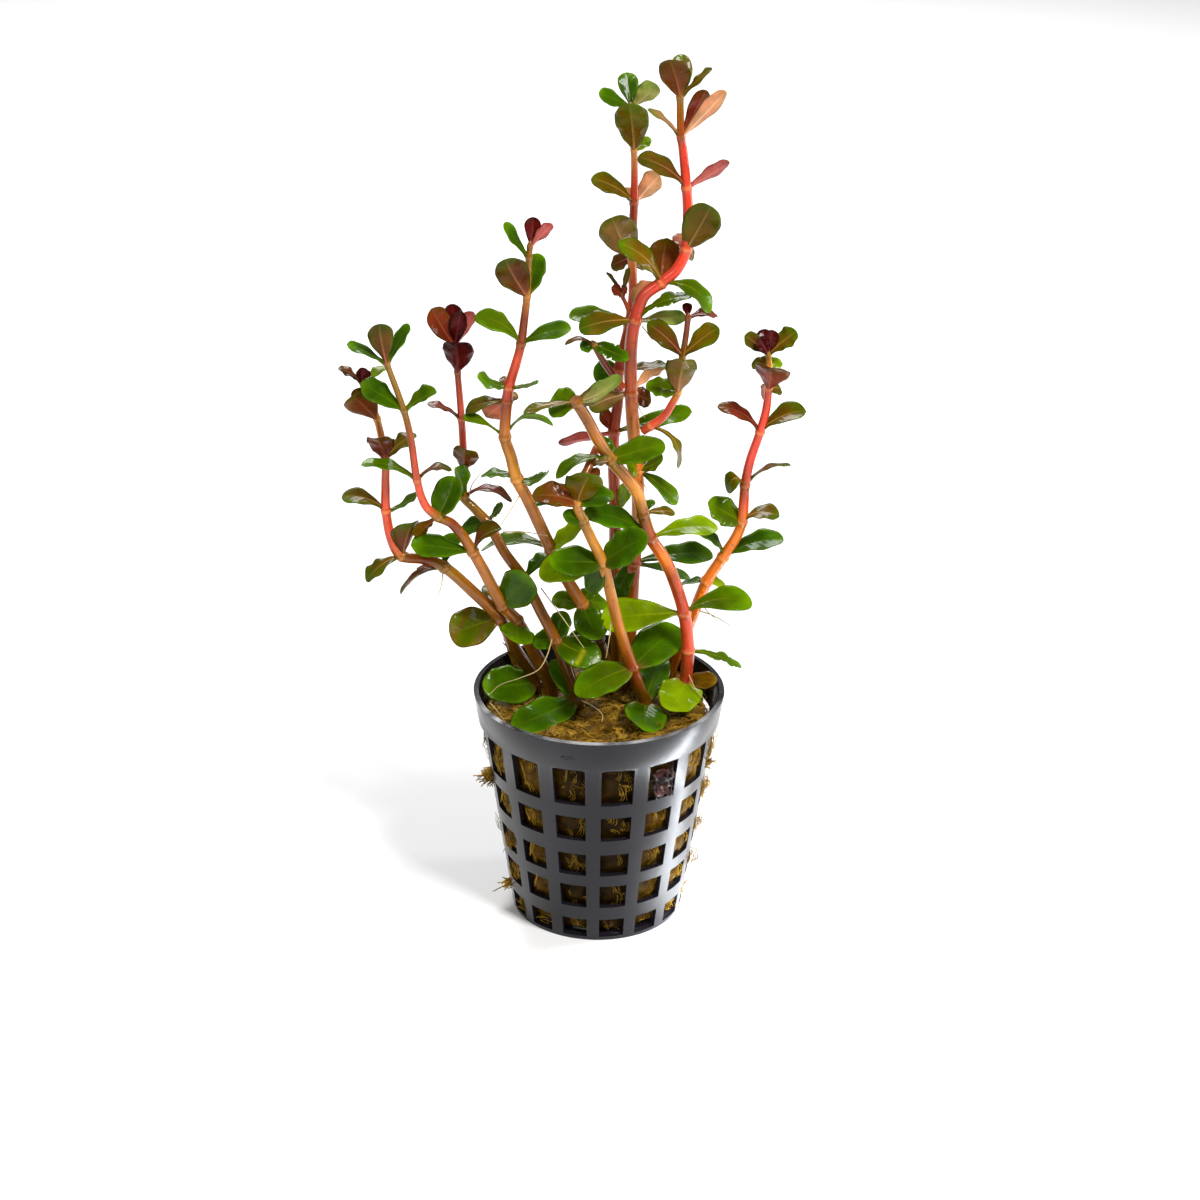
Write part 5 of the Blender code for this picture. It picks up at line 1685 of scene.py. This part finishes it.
# Points, faces and the named values of one leaf, as arrays
def leafMesh(base, tip, leaf, seed, torn):
    luck = np.random.default_rng(seed)
    along, across, normal = (np.array(axis) for axis in leafFrame(base, tip, leaf.turn))
    length = float(np.linalg.norm(along))
    rows, columns = leafDetail["along"] * (2 if torn else 1), leafDetail["across"]
    spots = 1 - (1 - np.linspace(0, 1, rows + 1)[:-1]) ** leafDetail["tipRows"]
    half = leafOutline(leaf.form, spots) * leaf.width * mm / 2
    fullness = min(1, leafDetail["petioleLeast"] + leaf.width / leafDetail["petioleWidth"])
    stalk = leafDetail["petiole"] * fullness * np.clip(1 - spots * leafDetail["petioleReach"], 0, 1)
    half = np.sqrt(half**2 + stalk**2)[:, None]
    edges = tornEdges(spots, luck) if torn else np.ones((2, rows))
    lanes = np.linspace(-1, 1, columns + 1)[None, :]
    lanes = np.sign(lanes) * np.abs(lanes) ** leafDetail["crowding"]
    out = lanes * half * np.where(lanes < 0, edges[0][:, None], edges[1][:, None])
    run = spots[:, None] * np.ones_like(out)
    sideways, outward = leafBend(leaf, out, run, lanes, half, length, luck)
    spot = np.array(base) + along * run[..., None]
    spot = spot + across * sideways[..., None] + normal * outward[..., None]
    above, below = leafThickness(out, run, lanes)
    tipSpot = np.array(tip) - normal * (leafDetail["tipCurl"] * leafDetail["tipDrop"] * length)
    points = skins(spot + normal * above[..., None], spot - normal * below[..., None], tipSpot)
    facesEye = np.dot(np.array(eye) - np.array(base), normal) > 0
    tones = leafTones(leaf.shade, run, lanes, luck)
    top, under = tones if facesEye else tones[::-1]
    blade = np.stack([run * length / mm, out / mm, (1 - np.abs(lanes)) * half / mm], -1)
    values = {"blade": skins(blade, blade, np.array([length / mm, 0, 0]))}
    for part in top:
        values[part] = skins(top[part], under[part], top[part][-1, columns // 2])
    return points, leafFaces(rows, columns), values


# Faces of a closed leaf: an upper skin, a lower skin that shares its edge, and a tip
def leafFaces(rows, columns):
    wide = columns + 1
    lowerStart = rows * wide
    tip = lowerStart + rows * (wide - 2)

    def upper(row, column):
        return row * wide + column

    def lower(row, column):
        if column in (0, columns):
            return upper(row, column)
        return lowerStart + row * (wide - 2) + column - 1

    faces = []
    for row in range(rows - 1):
        for column in range(columns):
            corners = [(row, column), (row, column + 1), (row + 1, column + 1), (row + 1, column)]
            faces.append(tuple(upper(*corner) for corner in corners))
            faces.append(tuple(lower(*corners[i]) for i in (0, 3, 2, 1)))
    for column in range(columns):
        faces.append((upper(rows - 1, column), upper(rows - 1, column + 1), tip))
        faces.append((lower(rows - 1, column), tip, lower(rows - 1, column + 1)))
    stalkEnd = [upper(0, column) for column in range(columns, -1, -1)]
    stalkEnd += [lower(0, column) for column in range(1, columns)]
    faces.append(tuple(stalkEnd))
    return faces


# How the colours of a leaf lie on it, as shares of its length and its half width
leafPaint = {
    "light": (0.85, 1.2),  # how each leaf's own tone differs, then its red and its green
    "red": (0.9, 1.1),
    "green": (0.94, 1.06),
    "lopsided": 0.4,
    "heartEnd": (0.7, 1.1),
    "heartPower": 0.7,
    "heartSides": 0.7,
    "rimStart": 0.6,
    "rimPower": 1.6,
    "rimTip": 0.7,
    "rimTipPower": 1.4,
    "rimShare": 0.85,
    "rimClear": 0.6,  # how far the rim keeps the patches off
    "lengthwise": (0.16, 0.08),  # lighter by this along it, from this much darker
    "burn": {"colour": (116, 78, 30), "beats": (9, 4), "from": 0.5, "strength": 1.4},
    "scar": {"colour": (178, 176, 20), "at": 0.62, "width": 0.05, "from": -0.2, "to": 0.75},
    "rearHeart": 0.5,
    "stalk": (178, 110, 58),
    "stalkEnd": 5,
    "stalkPower": 1.5,
    "stalkShare": 0.8,
    "ribShares": (0.9, 0.6),  # on the side that faces the viewer and on the other
    "ribFade": 0.6,
}


# For the side that faces the viewer and for the other: its tone, its patches and its rib
def leafTones(name, run, lanes, luck):
    look, shade = leafPaint, {part: np.array(linear(tone)) for part, tone in leafShades[name].items()}
    far = np.abs(lanes)
    light = luck.uniform(*look["light"])
    strength = light * np.array([luck.uniform(*look["red"]), luck.uniform(*look["green"]), 1])
    lopsided = 1 + luck.uniform(-look["lopsided"], look["lopsided"]) * np.sign(lanes) * far
    inner = np.clip(1 - run / luck.uniform(*look["heartEnd"]), 0, 1) ** look["heartPower"]
    inner = np.clip(inner * (1 - look["heartSides"] * far**2) * lopsided, 0, 1)[..., None]
    rim = np.clip((far - look["rimStart"]) / (1 - look["rimStart"]), 0, 1) ** look["rimPower"]
    rimTip = np.clip((run - look["rimTip"]) / (1 - look["rimTip"]), 0, 1) ** look["rimTipPower"]
    rim = np.maximum(rim, rimTip)[..., None]
    lighter, darker = look["lengthwise"]
    strength = strength * (1 + lighter * run - darker)[..., None]
    front = shade["blade"] * strength
    front = front + (shade["heart"] - front) * inner
    front = front + (shade["edge"] - front) * rim * look["rimShare"]
    if name == "spotted":
        burn = look["burn"]
        along, across = burn["beats"]
        spots = np.clip(np.sin(run * along + lanes * across) - burn["from"], 0, 1) * burn["strength"]
        front = front + (np.array(linear(burn["colour"])) - front) * np.clip(spots, 0, 1)[..., None]
    if name == "scarred":
        scar = look["scar"]
        mark = np.exp(-(((run - scar["at"]) / scar["width"]) ** 2))
        mark = mark * (lanes > scar["from"]) * (lanes < scar["to"])
        front = front + (np.array(linear(scar["colour"])) - front) * mark[..., None]
    rear = shade["back"] * strength
    rear = rear + (shade["heart"] - rear) * inner * look["rearHeart"]
    stalk = np.clip(1 - run * look["stalkEnd"], 0, 1)[..., None] ** look["stalkPower"]
    stem = np.array(linear(look["stalk"]))
    patchShare = np.clip(1 - stalk[..., 0] - rim[..., 0] * look["rimClear"], 0, 1)
    ribFade = (1 - run) ** look["ribFade"]
    sides = []
    for side, patch, ribShare in zip((front, rear), ("heart", "edge"), look["ribShares"]):
        tone = side + (stem - side) * stalk * look["stalkShare"]
        sides.append({
            "tone": withAlpha(tone, np.ones_like(run)),
            "flush": withAlpha(np.broadcast_to(shade[patch], tone.shape), patchShare),
            "rib": withAlpha(np.broadcast_to(shade["rib"], tone.shape), ribShare * ribFade),
        })
    return sides


def withAlpha(colour, alpha):
    return np.concatenate([colour, alpha[..., None]], -1)


def joinLeaves(name, parts, material):
    faces, start = [], 0
    for spots, polygons, _ in parts:
        faces += [tuple(corner + start for corner in polygon) for polygon in polygons]
        start += len(spots)
    mesh = bpy.data.meshes.new(name)
    mesh.from_pydata(np.concatenate([spots for spots, _, _ in parts]), [], faces)
    for part in ("tone", "flush", "rib"):
        colours = mesh.attributes.new(part, "FLOAT_COLOR", "POINT")
        colours.data.foreach_set("color", np.concatenate([values[part] for _, _, values in parts]).ravel())
    blade = mesh.attributes.new("blade", "FLOAT_VECTOR", "POINT")
    blade.data.foreach_set("vector", np.concatenate([values["blade"] for _, _, values in parts]).ravel())
    mesh.shade_smooth()
    mesh.materials.append(material)
    return addObject(name, mesh)


def camelName(name):
    first, *others = name.split("_")
    return first + "".join(word.capitalize() for word in others)


# Every leaf of a shoot has a seed of its own, and no shoot has more leaves than this
seedsPerShoot = 1000


def buildShoots(leafSkin, stemSkin):
    tree = tubeTree(stemDetail["sides"])
    paths = {name: stemPoints(shoot) for name, shoot in shoots.items()}
    placed = []
    for name, shoot in shoots.items():
        placed.append((name, coarseTube(paths[name], stemRadii(paths[name], shoot["girth"]))))
    for node in ("net_pot", "rock_wool"):
        placed.append((node, treeOf(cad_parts[node].data)))
    made = {}
    for number, (name, shoot) in enumerate(shoots.items()):
        shift = int(shoot.get("rooted", True))
        leaves = [leafReading(*row) for row in shoot["leaves"]]
        nodes = sorted({leaf.point + shift for leaf in leaves})
        parts = []
        for count, leaf in enumerate(leaves):
            base = paths[name][leaf.point + shift]
            tip = settledTip(base, leaf, name, placed)
            torn = count in tornLeaves.get(name, ())
            parts.append(leafMesh(base, tip, leaf, seedsPerShoot * number + count, torn))
        stem = buildStem(camelName(name), shoot, paths[name], nodes, tree, stemSkin)
        made[name] = joined(camelName(name), [stem, joinLeaves(camelName(name) + "Leaves", parts, leafSkin)])
    return made


def buildRoots(material):
    tree = tubeTree(aerialRoots["sides"])
    pieces = []
    for number, readings in enumerate(aerialRoots["paths"]):
        path = smoothPath([place(*reading) for reading in readings], aerialRoots["sample"])
        pieces.append(thinningTube(f"root{number}", path, aerialRoots, len(path) - 1, tree, material))
    return joined("aerialRoots", pieces)


# Stage

stage = {
    "floorSize": 4.0,
    "floor": {"Base Color": (0.93, 0.93, 0.93, 1), "Roughness": 0.8},
    "sky": 0.20,
    "lamps": {
        "key": {"at": (0.40, -0.45, 0.80), "size": (0.22, 0.22), "power": 9.2, "colour": (1.0, 0.98, 0.96)},
        "fill": {"at": (-0.5, -0.9, 0.9), "size": (0.5, 0.5), "power": 3.2, "colour": (0.98, 0.99, 1.0)},
        "back": {"at": (-0.1, 0.9, 0.85), "size": (0.7, 0.4), "power": 12.0, "colour": (1.0, 1.0, 1.0)},
        "side": {"at": (0.50, 0.10, 0.16), "size": (0.10, 0.25), "power": 1.2, "colour": (0.93, 0.96, 1.0)},
    },
    # A small lamp that lights the floor beside the pot, which the pot's side mirrors
    "bounce": {
        "at": (0.049, -0.005, 0.010), "size": (0.058, 0.006), "turn": math.radians(16), "power": 0.048,
        "colour": (0.90, 0.95, 1.0),
    },
}


def addLamp(name, lamp):
    light = bpy.data.lights.new(name, "AREA")
    light.shape = "RECTANGLE"
    light.size, light.size_y = lamp["size"]
    light.energy = lamp["power"]
    light.color = lamp["colour"]
    made = addObject(name, light)
    made.location = lamp["at"]
    return made


def buildStage():
    bpy.ops.mesh.primitive_plane_add(size=stage["floorSize"], location=(0, 0, 0))
    floor = bpy.context.object
    floor.name = "floor"
    floor.data.materials.append(newMaterial("floorPaper", stage["floor"])[0])
    bpy.context.scene.view_settings.view_transform = "Standard"
    world = bpy.data.worlds.new("studio")
    bpy.context.scene.world = world
    world.use_nodes = True
    background = world.node_tree.nodes["Background"]
    background.inputs["Color"].default_value = (1, 1, 1, 1)
    background.inputs["Strength"].default_value = stage["sky"]
    for name, lamp in stage["lamps"].items():
        made = addLamp(name, lamp)
        aim = Vector((0, 0, viewpoint["lookHeight"])) - made.location
        made.rotation_euler = aim.to_track_quat("-Z", "Y").to_euler()
    bounce = addLamp("bounce", stage["bounce"])
    bounce.rotation_euler.z = stage["bounce"]["turn"]
    bounce.visible_camera = False


def buildCamera():
    lens = bpy.data.cameras.new("camera")
    lens.sensor_width = viewpoint["sensor"]
    lens.lens = viewpoint["sensor"] * viewpoint["focal"] / viewpoint["frame"]
    lens.clip_start = viewpoint["nearest"]
    made = addObject("camera", lens)
    turn = Matrix((rightward, upward, -ahead)).transposed()
    made.matrix_world = Matrix.Translation(eye) @ turn.to_4x4()
    bpy.context.scene.camera = made


def attach(made, slotName, *nodes):
    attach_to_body(made, "root")
    if nodes:
        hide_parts(*nodes)


buildStage()
buildCamera()
attach(buildPot(potMaterial()), "net_pot", "net_pot")
print("pot done")
plug = buildWool(woolMaterial("woolMat", "plug"))
fibreSkin = woolMaterial("woolFibre", "fibre")
fibres = buildFibres(plug, fibreSkin)
attach(plug, "rock_wool", "rock_wool")
attach(fibres, "rock_wool")
attach(buildTufts(fibreSkin), "rock_wool")
attach(buildScrap(scrapMaterial()), "rock_wool")
print("wool done,", len(fibres.data.polygons), "fibre faces")
for shootName, made in buildShoots(leafMaterial(), stemMaterial()).items():
    attach(made, shootName, shootName)
print("shoots done")
attach(buildRoots(rootMaterial()), "rock_wool")
print("roots done")
